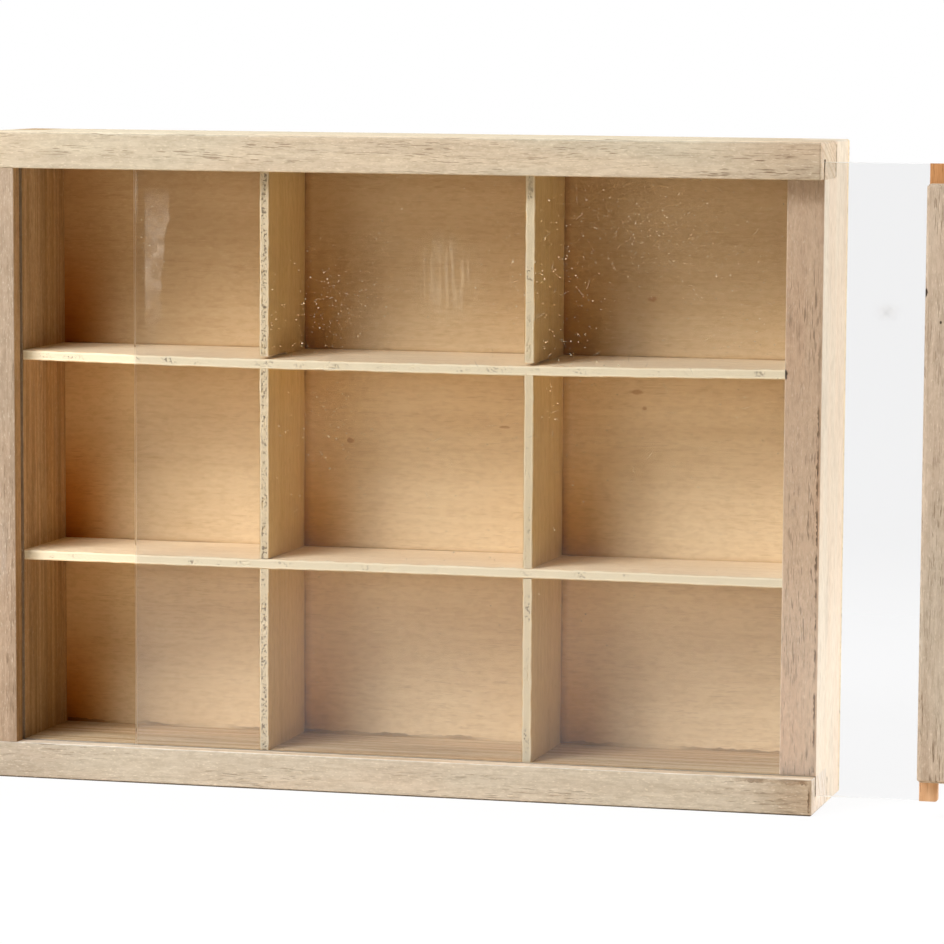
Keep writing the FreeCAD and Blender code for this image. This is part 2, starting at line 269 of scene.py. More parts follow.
def make_floor():
    """A pale floor: near the object it takes a soft shadow, and further off it is plain white.

    A mirror image of it fades to the dim room with distance.
    """
    material, nodes = new_material("floor_paper")
    place = nodes.add("TexCoord").outputs["Object"]
    distance = nodes.add("VectorMath", {0: place}, operation="LENGTH").outputs["Value"]
    whiteness = nodes.ramp(distance, FLOOR_RADIUS * 0.45, FLOOR_RADIUS, FLOOR_WHITENESS, 1.0)
    path = nodes.add("LightPath")
    mirrored = mirrored_only(nodes, path)
    in_mirror = nodes.math("MULTIPLY", mirrored, MIRROR_STRENGTH)
    shown = nodes.math("MAXIMUM", seen_directly(nodes, path), in_mirror)
    shown = nodes.math("MULTIPLY", shown, whiteness)
    level = nodes.ramp(distance, MIRRORED_NEAR, MIRRORED_FAR, 1.0, ROOM_BEHIND_CAMERA)
    level = nodes.mix(mirrored, (1, 1, 1, 1), level)
    tint = nodes.mix(path.outputs["Is Diffuse Ray"], PAPER_SEEN, PAPER_THROWN)
    paper = nodes.add("BsdfDiffuse", {"Color": tint})
    white = nodes.add("Emission", {"Color": level, "Strength": 1.0})
    mix = nodes.add("MixShader", {0: shown, 1: paper.outputs[0], 2: white.outputs[0]})
    nodes.add("OutputMaterial", {"Surface": mix.outputs[0]})
    corners = FLOOR_HALF * np.array([(-1, -1, 0), (1, -1, 0), (1, 1, 0), (-1, 1, 0)])
    floor = new_piece("floor", corners, np.array([(0, 1, 2, 3)]), material, None)


make_floor()

# %% [markdown]
# ## Wood grain
# Bare, pale boards show three things: broad soft bands along the board, fine fibres inside them, and
# short dark dashes, the open pores, which gather in rows. Each is noise that is stretched along
# the grain, so on end grain the same pattern turns into dots, as it does in real wood. All the wood
# of the case shares one node group for this, and each material turns it along its own grain.
# %% Group helpers
def new_group(name, inputs, outputs):
    """A node group with named sockets; returns it, its helper and its input node."""
    group = bpy.data.node_groups.new(name, "ShaderNodeTree")
    nodes = Nodes(group)
    for socket, kind in inputs:
        group.interface.new_socket(socket, in_out="INPUT", socket_type=f"NodeSocket{kind}")
    for socket in outputs:
        group.interface.new_socket(socket, in_out="OUTPUT", socket_type="NodeSocketFloat")
    return group, nodes, group.nodes.new("NodeGroupInput")


def close_group(group, values):
    """Sends values to the group's outputs."""
    exit_node = group.nodes.new("NodeGroupOutput")
    for name, value in values.items():
        group.links.new(value, exit_node.inputs[name])
    print(f"group {group.name}: {len(group.nodes)} nodes, puts out {', '.join(values)}")
    return group


# %% Grain group
def stretched(nodes, vector, along, across, *look):
    """Noise with so many features to a metre along the grain and across it."""
    return nodes.noise(nodes.scaled(vector, (along, across, across)), *look)


def add_sway(nodes, place):
    """The place, moved across the grain by up to 4 mm, so that no fibre runs quite straight."""
    wander = stretched(nodes, place, 14.0, 30.0, 1.0)
    sway = nodes.add("CombineXYZ", {0: 0.0, 1: wander, 2: wander}).outputs[0]
    sway = nodes.scaled(sway, (0.0, 0.004, 0.004))
    return nodes.add("VectorMath", {0: place, 1: sway}, operation="ADD").outputs[0]


def grow_rings(nodes, place, drift):
    """Growth rings for end grain: noise of the distance from a heart that lies outside the board."""
    centred = nodes.add("VectorMath", {0: nodes.scaled(place, (0.0, 1.0, 1.0)), 1: (0.0, 0.055, 0.090)},
                        operation="ADD")
    radius = nodes.add("VectorMath", {0: centred.outputs[0]}, operation="LENGTH").outputs["Value"]
    radius = nodes.math("ADD", radius, nodes.math("MULTIPLY", drift, 0.002))
    return nodes.noise(nodes.add("CombineXYZ", {0: nodes.math("MULTIPLY", radius, 620.0)}).outputs[0], 2.0)


def make_grain_group():
    """Masks for a vector in metres whose X runs along the grain; pores are dashes, kept to some rows."""
    outputs = ["Tone", "Fibre", "Pores", "Flecks", "Drift", "Mottle", "Rings"]
    group, nodes, entry = new_group("wood_grain", [("Vector", "Vector")], outputs)
    place = entry.outputs["Vector"]
    bent = add_sway(nodes, place)
    bands = stretched(nodes, bent, 4.0, 220.0, 2.0, 0.55)
    streaks = stretched(nodes, bent, 45.0, 900.0, 2.0, 0.6)
    fibre = stretched(nodes, bent, 170.0, 2600.0, 3.0, 0.7)
    tone = nodes.math("ADD", nodes.math("MULTIPLY", bands, 0.35), nodes.math("MULTIPLY", streaks, 0.35))
    tone = nodes.math("ADD", tone, nodes.math("MULTIPLY", fibre, 0.30))
    dashes = nodes.ramp(stretched(nodes, bent, 200.0, 3300.0, 1.0), 0.59, 0.67)
    rows = nodes.ramp(stretched(nodes, bent, 22.0, 330.0, 2.0), 0.40, 0.56)
    groves = nodes.ramp(stretched(nodes, place, 26.0, 90.0, 2.0), 0.40, 0.60, 0.40, 1.0)
    pores = nodes.math("MULTIPLY", nodes.math("MULTIPLY", dashes, rows), groves)
    flecks = nodes.ramp(stretched(nodes, bent, 700.0, 2900.0, 1.0), 0.60, 0.74)
    drift = stretched(nodes, place, 11.0, 60.0, 2.0)
    mottle = stretched(nodes, place, 320.0, 750.0, 3.0, 0.7)
    return close_group(group, {
        "Tone": tone, "Fibre": fibre, "Pores": pores, "Flecks": flecks, "Drift": drift,
        "Mottle": mottle, "Rings": grow_rings(nodes, place, drift)})


GRAIN = make_grain_group()

# %% [markdown]
# ## Which way the wood looks
# A board isn't the same on all its sides: the end grain is darker, and some faces carry painted light
# and shade: a top or a lip is painted pale as a highlight, an underside dark as shade. So a second group
# turns the direction in which the surface looks into a mask. It reads the true normal, which changes
# only where the shape does, so no line needs to be painted.
# %% Facing group
AXES = {"X": (1.0, 0.0, 0.0), "Y": (0.0, 1.0, 0.0), "Z": (0.0, 0.0, 1.0)}


def make_facing_group():
    """The true normal's share along a direction, from Low to High; Either counts both ways."""
    sockets = [("Direction", "Vector"), ("Low", "Float"), ("High", "Float")]
    group, nodes, entry = new_group("facing", sockets, ["Towards", "Either"])
    inputs = {0: nodes.add("NewGeometry").outputs["True Normal"], 1: entry.outputs["Direction"]}
    share = nodes.add("VectorMath", inputs, operation="DOT_PRODUCT").outputs["Value"]
    low, high = entry.outputs["Low"], entry.outputs["High"]
    return close_group(group, {"Towards": nodes.ramp(share, low, high),
                               "Either": nodes.ramp(nodes.math("ABSOLUTE", share), low, high)})


FACING = make_facing_group()


def facing(nodes, axis, sign, low=0.55, high=0.85):
    """1 where the surface looks along an axis, fading to 0 within a rounded arris."""
    inputs = {"Direction": tuple(sign * part for part in AXES[axis]), "Low": low, "High": high}
    return nodes.add("Group", inputs, node_tree=FACING).outputs["Towards"]


def end_grain(nodes, axis):
    """1 on the two faces that cut across the grain."""
    inputs = {"Direction": AXES[axis.upper()], "Low": 0.6, "High": 0.8}
    return nodes.add("Group", inputs, node_tree=FACING).outputs["Either"]


# %% [markdown]
# ## Knots and nicks
# A few small dark spots make a board one of a kind: pin knots in a veneer, or a nick in an edge. Each
# is an ellipsoid at a place in the wood, so it shows only where the surface passes through it, and
# noise makes its rim ragged.
# %% Spot group
def make_spot_group():
    """The distance from a centre, counted in half sizes, plus noise: 1 inside 0.6 and 0 beyond 1.1."""
    sockets = [("Place", "Vector"), ("Centre", "Vector"), ("Half Sizes", "Vector")]
    group, nodes, entry = new_group("dark_spot", sockets, ["Mask"])
    place, centre, halves = (entry.outputs[name] for name, kind in sockets)
    rim = nodes.noise(nodes.scaled(place, (900.0, 900.0, 900.0)), 2.0)
    offset = nodes.add("VectorMath", {0: place, 1: centre}, operation="SUBTRACT").outputs[0]
    offset = nodes.add("VectorMath", {0: offset, 1: halves}, operation="DIVIDE").outputs[0]
    distance = nodes.add("VectorMath", {0: offset}, operation="LENGTH").outputs["Value"]
    distance = nodes.math("ADD", distance, nodes.math("SUBTRACT", rim, 0.5))
    return close_group(group, {"Mask": nodes.ramp(distance, 1.1, 0.6)})


SPOT = make_spot_group()


def spots(nodes, places):
    """1 within any of the spots, (x, y, z, half width, half height) in millimetres."""
    place = nodes.add("TexCoord").outputs["Object"]
    found = 0.0
    for x, y, z, wide, high in places:
        inputs = {"Place": place, "Centre": (x * MM, y * MM, z * MM),
                  "Half Sizes": (wide * MM, wide * MM, high * MM)}
        spot = nodes.add("Group", inputs, node_tree=SPOT).outputs["Mask"]
        found = nodes.math("MAXIMUM", found, spot)
    return found


# %% [markdown]
# ## Bare boards
# The frame is unfinished wood: two tones mixed by the grain, then brown pores and pale flecks, a little
# grey where hands have been, and rings on the ends. On some faces painted light and shade lie over the
# wood's own colour: pale tops and lips as highlights, a dark underside and a darker top to the right
# board as shade. Every board is a different piece of the same tree. One function therefore makes all
# the board materials, and each board gets its own tones, its own place in the grain and its own few marks.
# %% Board helpers
GRAIN_TURN = {"x": (0.0, 0.0, 0.0), "y": (0.0, 0.0, math.radians(-90)), "z": (0.0, math.radians(90), 0.0)}
HANDLED_GREY = (0.40, 0.35, 0.28, 1)
PALE_FIBRE = (0.95, 0.88, 0.75, 1)
PORE_BROWN = (0.17, 0.11, 0.065, 1)
NICK_BLACK = (0.05, 0.035, 0.025, 1)


def grain_vector(nodes, axis, offset):
    """Object coordinates turned so that their X runs along the grain."""
    place = nodes.add("TexCoord").outputs["Object"]
    inputs = {"Vector": place, "Rotation": GRAIN_TURN[axis], "Location": offset}
    return nodes.add("Mapping", inputs).outputs[0]


def object_parts(nodes):
    """The object coordinates as three numbers."""
    return nodes.add("SeparateXYZ", {0: nodes.add("TexCoord").outputs["Object"]}).outputs


def tinted(nodes, colour, factor, tint):
    """The colour times a tint where the factor is 1."""
    return nodes.mix(factor, colour, nodes.mix(1.0, colour, (*tint, 1), "MULTIPLY"))


def finish_wood(nodes, colour, roughness, height, depth):
    """The Principled shader with a bump, and the material's output."""
    bump = nodes.add("Bump", {"Strength": 0.6, "Distance": depth, "Height": height})
    shader = nodes.add("BsdfPrincipled", {
        "Base Color": colour, "Roughness": roughness, "Specular IOR Level": 0.35, "Normal": bump.outputs[0]})
    nodes.add("OutputMaterial", {"Surface": shader.outputs[0]})


# %% Board layers
def raw_board(nodes, grain, vector, ends, light, dark):
    """The wood before any marks: two tones, slow and fine drifts of colour, handled patches, rings."""
    colour = nodes.mix(nodes.ramp(grain["Tone"], 0.38, 0.62), (*dark, 1), (*light, 1))
    colour = tinted(nodes, colour, nodes.ramp(grain["Drift"], 0.40, 0.62), (1.03, 0.98, 0.955))
    colour = tinted(nodes, colour, nodes.ramp(grain["Mottle"], 0.40, 0.66), (0.87, 0.86, 0.84))
    patch = stretched(nodes, vector, 30.0, 110.0, 3.0, 0.6)
    colour = nodes.mix(nodes.ramp(patch, 0.52, 0.74, 0.0, 0.24), colour, HANDLED_GREY)
    rings = nodes.math("MULTIPLY", ends, nodes.ramp(grain["Rings"], 0.45, 0.62))
    return tinted(nodes, colour, rings, (0.86, 0.80, 0.72))


def tone_and_painted_light(nodes, colour, place, front, tints, fades, lip_edge):
    """The board's tints by where the surface looks and where it lies: partly its own colour, partly painted
    light and shade.
    """
    for along, sign, tint, *limits in tints:
        colour = tinted(nodes, colour, facing(nodes, along, sign, *limits), tint)
    # painted highlight: the top of the front lip is made pale and cool, as where it catches the light
    if lip_edge:
        on_lip = nodes.ramp(place["Y"], lip_edge + 0.4 * MM, lip_edge - 0.4 * MM)
        lip = nodes.math("MULTIPLY", facing(nodes, "Z", 1.0, 0.3, 0.7), on_lip)
        colour = tinted(nodes, colour, lip, (1.38, 1.52, 1.85))
    for along, low, high, tint, *strengths in fades:
        fade = nodes.ramp(place[along], low, high)
        if strengths:
            fade = nodes.math("MULTIPLY", fade, nodes.ramp(front, 0.0, 1.0, *strengths))
        colour = tinted(nodes, colour, fade, tint)
    return colour


# %% Board material
def board_wood(name, axis, tones, offset, tints=(), fades=(), busy=None, pore_depth=0.55, marks=(),
               lip_edge=None, streaked=None, sides=1.0, flecks=0.22):
    """Bare board: light and dark along the tone, brown pores, pale flecks and grey handled patches.

    tints are (axis, sign, colour): the wood is multiplied by the colour where it looks that way.
    fades are (axis, from, to, colour): it is multiplied by a colour that comes in along an axis,
    with two more numbers for its strength away from the front face and on it.
    busy is (axis, from, to), between which the pores grow from sparse to dense. Tops in front of
    lip_edge are painted pale, as a highlight. streaked multiplies soft bands along the grain, but not on the
    front.
    sides is how strong the pores are away from the front face.
    """
    material, nodes = new_material(name)
    vector = grain_vector(nodes, axis, offset)
    place = object_parts(nodes)
    grain = nodes.add("Group", {"Vector": vector}, node_tree=GRAIN).outputs
    ends, front = end_grain(nodes, axis), facing(nodes, "Y", -1.0)
    colour = raw_board(nodes, grain, vector, ends, *tones)
    colour = tone_and_painted_light(nodes, colour, place, front, tints, fades, lip_edge)
    colour = nodes.mix(nodes.math("MULTIPLY", grain["Flecks"], flecks), colour, PALE_FIBRE)
    pores = grain["Pores"]
    if busy:
        along, low, high = busy
        pores = nodes.math("MULTIPLY", pores, nodes.ramp(place[along], low, high, 0.65, 1.0))
    pores = nodes.math("MULTIPLY", pores, nodes.ramp(ends, 0.0, 1.0, 1.0, 0.35))
    pores = nodes.math("MULTIPLY", pores, nodes.ramp(front, 0.0, 1.0, sides, 1.0))
    colour = nodes.mix(nodes.math("MULTIPLY", pores, pore_depth), colour, PORE_BROWN)
    if marks:
        colour = nodes.mix(spots(nodes, marks), colour, NICK_BLACK)
    if streaked:
        bands = nodes.ramp(stretched(nodes, vector, 9.0, 330.0, 2.0, 0.6), 0.44, 0.60)
        bands = nodes.math("MULTIPLY", bands, nodes.math("SUBTRACT", 1.0, front))
        bands = nodes.math("MULTIPLY", bands, nodes.math("SUBTRACT", 1.0, ends))
        colour = tinted(nodes, colour, bands, streaked)
    height = nodes.math("SUBTRACT", nodes.math("MULTIPLY", grain["Fibre"], 0.5), pores)
    finish_wood(nodes, colour, nodes.ramp(grain["Fibre"], 0.3, 0.7, 0.68, 0.9), height, 0.25 * MM)
    return material


def dress(node, material):
    """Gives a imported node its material; the node's mesh and place stay as they are."""
    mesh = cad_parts[node].data
    mesh.materials.clear()
    mesh.materials.append(material)
    print(f"{node}: {material.name}, {len(material.node_tree.nodes)} nodes")


# %% The two rails
# tones are (light, dark)
TOP_TONES = (0.58, 0.525, 0.42), (0.49, 0.435, 0.345)
BOTTOM_TONES = (0.61, 0.56, 0.475), (0.52, 0.465, 0.385)
PALE_END = ("X", 1.0, (1.45, 1.50, 1.58))
# painted highlight: the top rail's top face is made pale, where the light falls on it
PAINTED_TOP_HIGHLIGHT = ("Z", 1.0, (1.45, 1.42, 1.34))
# painted shade: the bottom rail's underside and lower arris are darkened, as a shadow along its foot
PAINTED_UNDERSIDE_SHADE = ("Z", -1.0, (0.22, 0.21, 0.20), 0.2, 0.6)
dress("top_rail", board_wood(
    "top_rail_wood", "x", TOP_TONES, (0.3, 0.11, 0.07), tints=[PALE_END, PAINTED_TOP_HIGHLIGHT],
    fades=[("X", 0.085, 0.125, (0.86, 0.81, 0.78))], busy=("X", 0.03, 0.11), pore_depth=0.85))
# The bottom rail's right end is painted paler and bluer than the wood, to cancel the warm light that the floor
# throws on it, and the top of its front lip is painted pale as a highlight.
dress("bottom_rail", board_wood(
    "bottom_rail_wood", "x", BOTTOM_TONES, (1.7, 0.43, 0.21),
    tints=[("X", 1.0, (1.5, 1.6, 1.8)), PAINTED_UNDERSIDE_SHADE, ("Z", 1.0, (1.08, 0.94, 0.74))],
    fades=[("X", -0.085, -0.125, (0.83, 0.84, 0.85)), ("X", 0.108, 0.127, (0.80, 0.74, 0.68), 0.0, 1.0)],
    pore_depth=0.42, lip_edge=-19.2 * MM, streaked=(0.81, 0.73, 0.64), flecks=0.30))

# %% The two side boards
LEFT_TONES = (0.60, 0.42, 0.25), (0.46, 0.31, 0.175)
RIGHT_TONES = (0.90, 0.84, 0.73), (0.86, 0.785, 0.675)
RIGHT_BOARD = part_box("right_side")
dress("left_side", board_wood(
    "left_side_wood", "z", LEFT_TONES, (0.9, 0.31, 0.52), tints=[("Y", -1.0, (0.76, 0.88, 1.17))],
    fades=[("Z", 0.10, 0.012, (0.84, 0.82, 0.76), 1.0, 0.1), ("Y", 3.2 * MM, 3.8 * MM, (0.98, 0.92, 0.80))],
    streaked=(0.80, 0.76, 0.68)))
# painted shade: the right board is made darker towards its top and so lighter near the floor
dress("right_side", board_wood(
    "right_side_wood", "z", RIGHT_TONES, (2.1, 0.17, 0.35), tints=[("Y", -1.0, (0.79, 0.645, 0.55))],
    fades=[("Z", 0.02, 0.14, (0.88, 0.87, 0.86))], busy=("X", RIGHT_BOARD[0][0], RIGHT_BOARD[1][0]),
    pore_depth=0.8, marks=[(120.0, -16.8, 131.3, 0.8, 1.6)], sides=0.25))

# %% [markdown]
# ## Plywood
# The shelves, dividers and back are three-ply: smooth warm veneers over a paler, coarser core. The core
# shows only on sawn edges, so the material needs to know how deep in the sheet each point lies. The
# plates carry that as a value on their mesh, and the back works it out from its own thickness.
# %% Ply group
def make_ply_group():
    """Layer runs from 0 to 1 through the sheet: the core is its middle half, wavering by 7 % of it.

    Voids are specks of noise inside slow clusters, and Openness makes more or fewer of the clusters.
    """
    sockets = [("Vector", "Vector"), ("Layer", "Float"), ("Openness", "Float")]
    group, nodes, entry = new_group("ply_layers", sockets, ["Core", "Voids"])
    place, layer, openness = (entry.outputs[name] for name, kind in sockets)
    waver = stretched(nodes, place, 160.0, 160.0, 2.0)
    shift = nodes.math("MULTIPLY", nodes.math("SUBTRACT", waver, 0.5), 0.14)
    centred = nodes.math("ABSOLUTE", nodes.math("SUBTRACT", nodes.math("ADD", layer, shift), 0.5))
    core = nodes.ramp(centred, 0.31, 0.25)
    specks = nodes.ramp(stretched(nodes, place, 1300.0, 1300.0, 2.0, 0.6), 0.55, 0.60)
    clusters = nodes.math("ADD", stretched(nodes, place, 130.0, 130.0, 1.0), openness)
    holes = nodes.math("MULTIPLY", specks, nodes.ramp(clusters, 0.38, 0.56))
    return close_group(group, {"Core": core, "Voids": nodes.math("MULTIPLY", holes, core)})


PLY = make_ply_group()


def layer_from_attribute(nodes):
    """The place through the sheet that the plate's own mesh carries."""
    return nodes.add("Attribute", attribute_name="ply_layer").outputs["Fac"]


def layer_from_depth(nodes):
    """The back panel's own thickness, from its inner face to its outer one."""
    low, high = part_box("back_panel")
    inputs = {"Value": object_parts(nodes)["Y"], "From Min": low[1], "From Max": high[1]}
    return nodes.add("MapRange", inputs).outputs[0]


# %% Plywood material
EDGE_TONE = (0.93, 0.85, 0.66)
CORE_TONE = (0.80, 0.72, 0.54)
NO_TINT = (1.0, 1.0, 1.0)
PLY_PORE, PLY_FLECK, PLY_VOID = (0.36, 0.20, 0.09, 1), (0.98, 0.84, 0.58, 1), (0.17, 0.12, 0.08, 1)
KNOT_BROWN = (0.40, 0.17, 0.06, 1)


def times(colour, tint):
    """Two plain colours multiplied, as a node's value."""
    return (*(part * share for part, share in zip(colour, tint)), 1)


def plywood(name, axis, offset, layer_of, tones, shade=None, front_edge=NO_TINT, marks=(), cells=None,
            openness=0.0):
    """Plywood: veneer with fine quiet grain, and a paler, greyer, speckled core on sawn edges.

    layer_of(nodes) gives the place through the thickness, from 0 to 1. shade is (low, high, tint):
    from low up to high the veneer's front darkens to the tint. front_edge tints the sawn front edge,
    or is None where there is none. cells is the compartment grid on which shade is painted.
    """
    material, nodes = new_material(name)
    vector = grain_vector(nodes, axis, offset)
    light, dark = tones
    grain = nodes.add("Group", {"Vector": vector}, node_tree=GRAIN).outputs
    inputs = {"Vector": vector, "Layer": layer_of(nodes), "Openness": openness}
    layers = nodes.add("Group", inputs, node_tree=PLY).outputs
    colour = nodes.mix(nodes.ramp(grain["Tone"], 0.38, 0.62), (*dark, 1), (*light, 1))
    front = facing(nodes, "Y", -1.0)
    if shade:
        low, high, tint = shade
        shaded = nodes.math("MULTIPLY", nodes.ramp(object_parts(nodes)["Z"], low, high), front)
        colour = tinted(nodes, colour, shaded, tint)
    colour = tinted(nodes, colour, nodes.ramp(grain["Mottle"], 0.42, 0.66), (0.92, 0.90, 0.87))
    colour = nodes.mix(nodes.math("MULTIPLY", grain["Flecks"], 0.16), colour, PLY_FLECK)
    colour = nodes.mix(nodes.math("MULTIPLY", grain["Pores"], 0.24), colour, PLY_PORE)
    if front_edge:
        colour = tinted(nodes, colour, facing(nodes, "Z", 1.0), (1.08, 1.12, 1.22))
        colour = nodes.mix(front, colour, times(EDGE_TONE, front_edge))
    if cells:
        colour = compartment_painted_shade(nodes, colour, front, *cells)
    if marks:
        colour = nodes.mix(nodes.math("MULTIPLY", spots(nodes, marks), 0.48), colour, KNOT_BROWN)
    core = times(CORE_TONE, front_edge or NO_TINT)
    colour = nodes.mix(nodes.math("MULTIPLY", layers["Core"], 0.75), colour, core)
    colour = nodes.mix(nodes.math("MULTIPLY", layers["Voids"], 0.8), colour, PLY_VOID)
    height = nodes.math("SUBTRACT", nodes.math("MULTIPLY", grain["Fibre"], 0.4), layers["Voids"])
    finish_wood(nodes, colour, nodes.ramp(grain["Fibre"], 0.3, 0.7, 0.6, 0.85), height, 0.2 * MM)
    return material


# %% [markdown]
# ## The back panel
# The inside of the back carries painted shade: each compartment is painted warmer and darker in its
# lower left, where the light from the upper left leaves shade, and darker along its joints with the
# shelves and dividers; the column left of the clear sheet's edge is painted darker and, at the far left,
# warmer, and the upper row darker, as under the top rail's shadow. It also carries a few pin knots. All
# this follows from where a point lies in the wood, so it stays put in every view.
# %% Back panel
BACK_TONES = (0.87, 0.70, 0.465), (0.82, 0.64, 0.41)
BACK_KNOTS = [(71.1, 21.0, 150.4, 1.5, 0.9), (68.9, 21.0, 116.8, 0.8, 0.7), (66.4, 21.0, 121.7, 2.2, 0.9),
              (-25.2, 21.0, 104.2, 1.4, 1.1), (24.5, 21.0, 109.7, 2.2, 0.5)]
COMPARTMENTS = (-41.65 * MM, 83.3 * MM, 69.0 * MM, 62.2 * MM)
CORNER_PAINTED_SHADE, JOINT_PAINTED_SHADE = (1.05, 0.77, 0.30), (0.80, 0.71, 0.58)
LEFT_COLUMN_PAINTED_SHADE, FAR_LEFT_PAINTED_SHADE = (0.82, 0.78, 0.73), (0.82, 0.50, 0.20)


def compartment_painted_shade(nodes, colour, front, upright, pitch_x, shelf, pitch_z):
    """Painted shade in each compartment: warmer and darker right of each upright and above each shelf, darker
    along those joints, and darker and warmer in the leftmost column; the grid's place is wrapped to one cell.
    """
    place = object_parts(nodes)
    right_of = nodes.math("WRAP", place["X"], upright + pitch_x, upright)
    above = nodes.math("WRAP", place["Z"], shelf + pitch_z, shelf)
    # painted shade: warm, dark lower left corner of each compartment
    corner = nodes.math("MULTIPLY", nodes.ramp(right_of, upright + 24 * MM, upright + 2 * MM),
                        nodes.ramp(above, shelf + 42 * MM, shelf + 4 * MM, 0.25, 1.0))
    colour = tinted(nodes, colour, nodes.math("MULTIPLY", corner, front), CORNER_PAINTED_SHADE)
    # painted shade along the joints with each shelf and upright
    joint_shade = nodes.math("MAXIMUM", nodes.ramp(above, shelf + 3.2 * MM, shelf + 0.4 * MM),
                      nodes.ramp(right_of, upright + 4.4 * MM, upright + 1.7 * MM))
    colour = tinted(nodes, colour, nodes.math("MULTIPLY", joint_shade, front), JOINT_PAINTED_SHADE)
    # painted shade: the leftmost column darker, and warmer still in its lower left
    left_column_shade = nodes.ramp(place["X"], -52 * MM, -84 * MM)
    colour = tinted(nodes, colour, nodes.math("MULTIPLY", left_column_shade, front), LEFT_COLUMN_PAINTED_SHADE)
    left = nodes.math("MULTIPLY", nodes.ramp(place["X"], -94 * MM, -118 * MM),
                      nodes.ramp(above, shelf + 46 * MM, shelf + 8 * MM, 0.3, 1.0))
    return tinted(nodes, colour, nodes.math("MULTIPLY", left, front), FAR_LEFT_PAINTED_SHADE)


# painted shade: the back's inner face darkens from 112 to 150 mm up, as under the top rail's shadow, and each
# compartment gets painted shade from its cells
dress("back_panel", plywood(
    "back_ply", "x", (0.4, 0.6, 0.8), layer_from_depth, BACK_TONES, shade=(0.112, 0.150, (0.77, 0.70, 0.62)),
    front_edge=None, marks=BACK_KNOTS, cells=COMPARTMENTS))

# %% [markdown]
# ## The tongue and the pins
# The tongue that runs in the grooves is a harder, redder wood, paler and less orange towards its foot.
# The pins through the back are bright steel, with fine scratches in their roughness.
# %% Tongue and pins
def make_hardwood():
    """The tongue's orange-brown hardwood: the same grain group with its own two tones."""
    material, nodes = new_material("tongue_wood")
    grain = nodes.add("Group", {"Vector": grain_vector(nodes, "z", (0.2, 0.4, 0.1))}, node_tree=GRAIN).outputs
    colour = nodes.mix(nodes.ramp(grain["Tone"], 0.35, 0.65), (0.42, 0.185, 0.07, 1), (0.56, 0.295, 0.13, 1))
    colour = tinted(nodes, colour, nodes.ramp(object_parts(nodes)["Z"], 0.10, 0.02), (1.32, 1.72, 2.5))
    colour = nodes.mix(nodes.math("MULTIPLY", grain["Pores"], 0.7), colour, (0.22, 0.07, 0.02, 1))
    finish_wood(nodes, colour, 0.55, grain["Fibre"], 0.15 * MM)
    return material


def make_steel():
    """Steel whose roughness runs from 0.25 to 0.5 with fine noise."""
    material, nodes = new_material("pin_steel")
    marks = stretched(nodes, nodes.add("TexCoord").outputs["Object"], 2500.0, 2500.0, 2.0)
    rough = nodes.ramp(marks, 0.3, 0.7, 0.25, 0.5)
    shader = nodes.add("BsdfPrincipled", {
        "Base Color": (0.6, 0.6, 0.6, 1), "Metallic": 1.0, "Roughness": rough})
    nodes.add("OutputMaterial", {"Surface": shader.outputs[0]})
    return material


dress("guide_tongue", make_hardwood())
dress("back_brads", make_steel())

# %% [markdown]
# ## The clear sheet
# The sliding front is cut from clear acrylic. Its faces are as good as invisible, and what one sees is
# its sawn edges: from outside they are frosted, and from inside they let the light through. Light that
# falls through the sheet onto the wood passes straight, a tenth weaker, because a true caustic would take
# the renderer far longer and look the same through so thin a sheet.
# %% Clear acrylic
SAWN_BAND = 0.15 * MM


def near_edge(nodes, low, high):
    """1 within the sawn band along the sheet's four edges: the least distance to their planes."""
    place = object_parts(nodes)
    sides = [nodes.math("ABSOLUTE", nodes.math("SUBTRACT", place[axis], value))
             for axis, value in (("X", low[0]), ("X", high[0]), ("Z", low[2]), ("Z", high[2]))]
    nearest = sides[0]
    for side in sides[1:]:
        nearest = nodes.math("MINIMUM", nearest, side)
    return nodes.ramp(nearest, SAWN_BAND, 0.02 * MM)


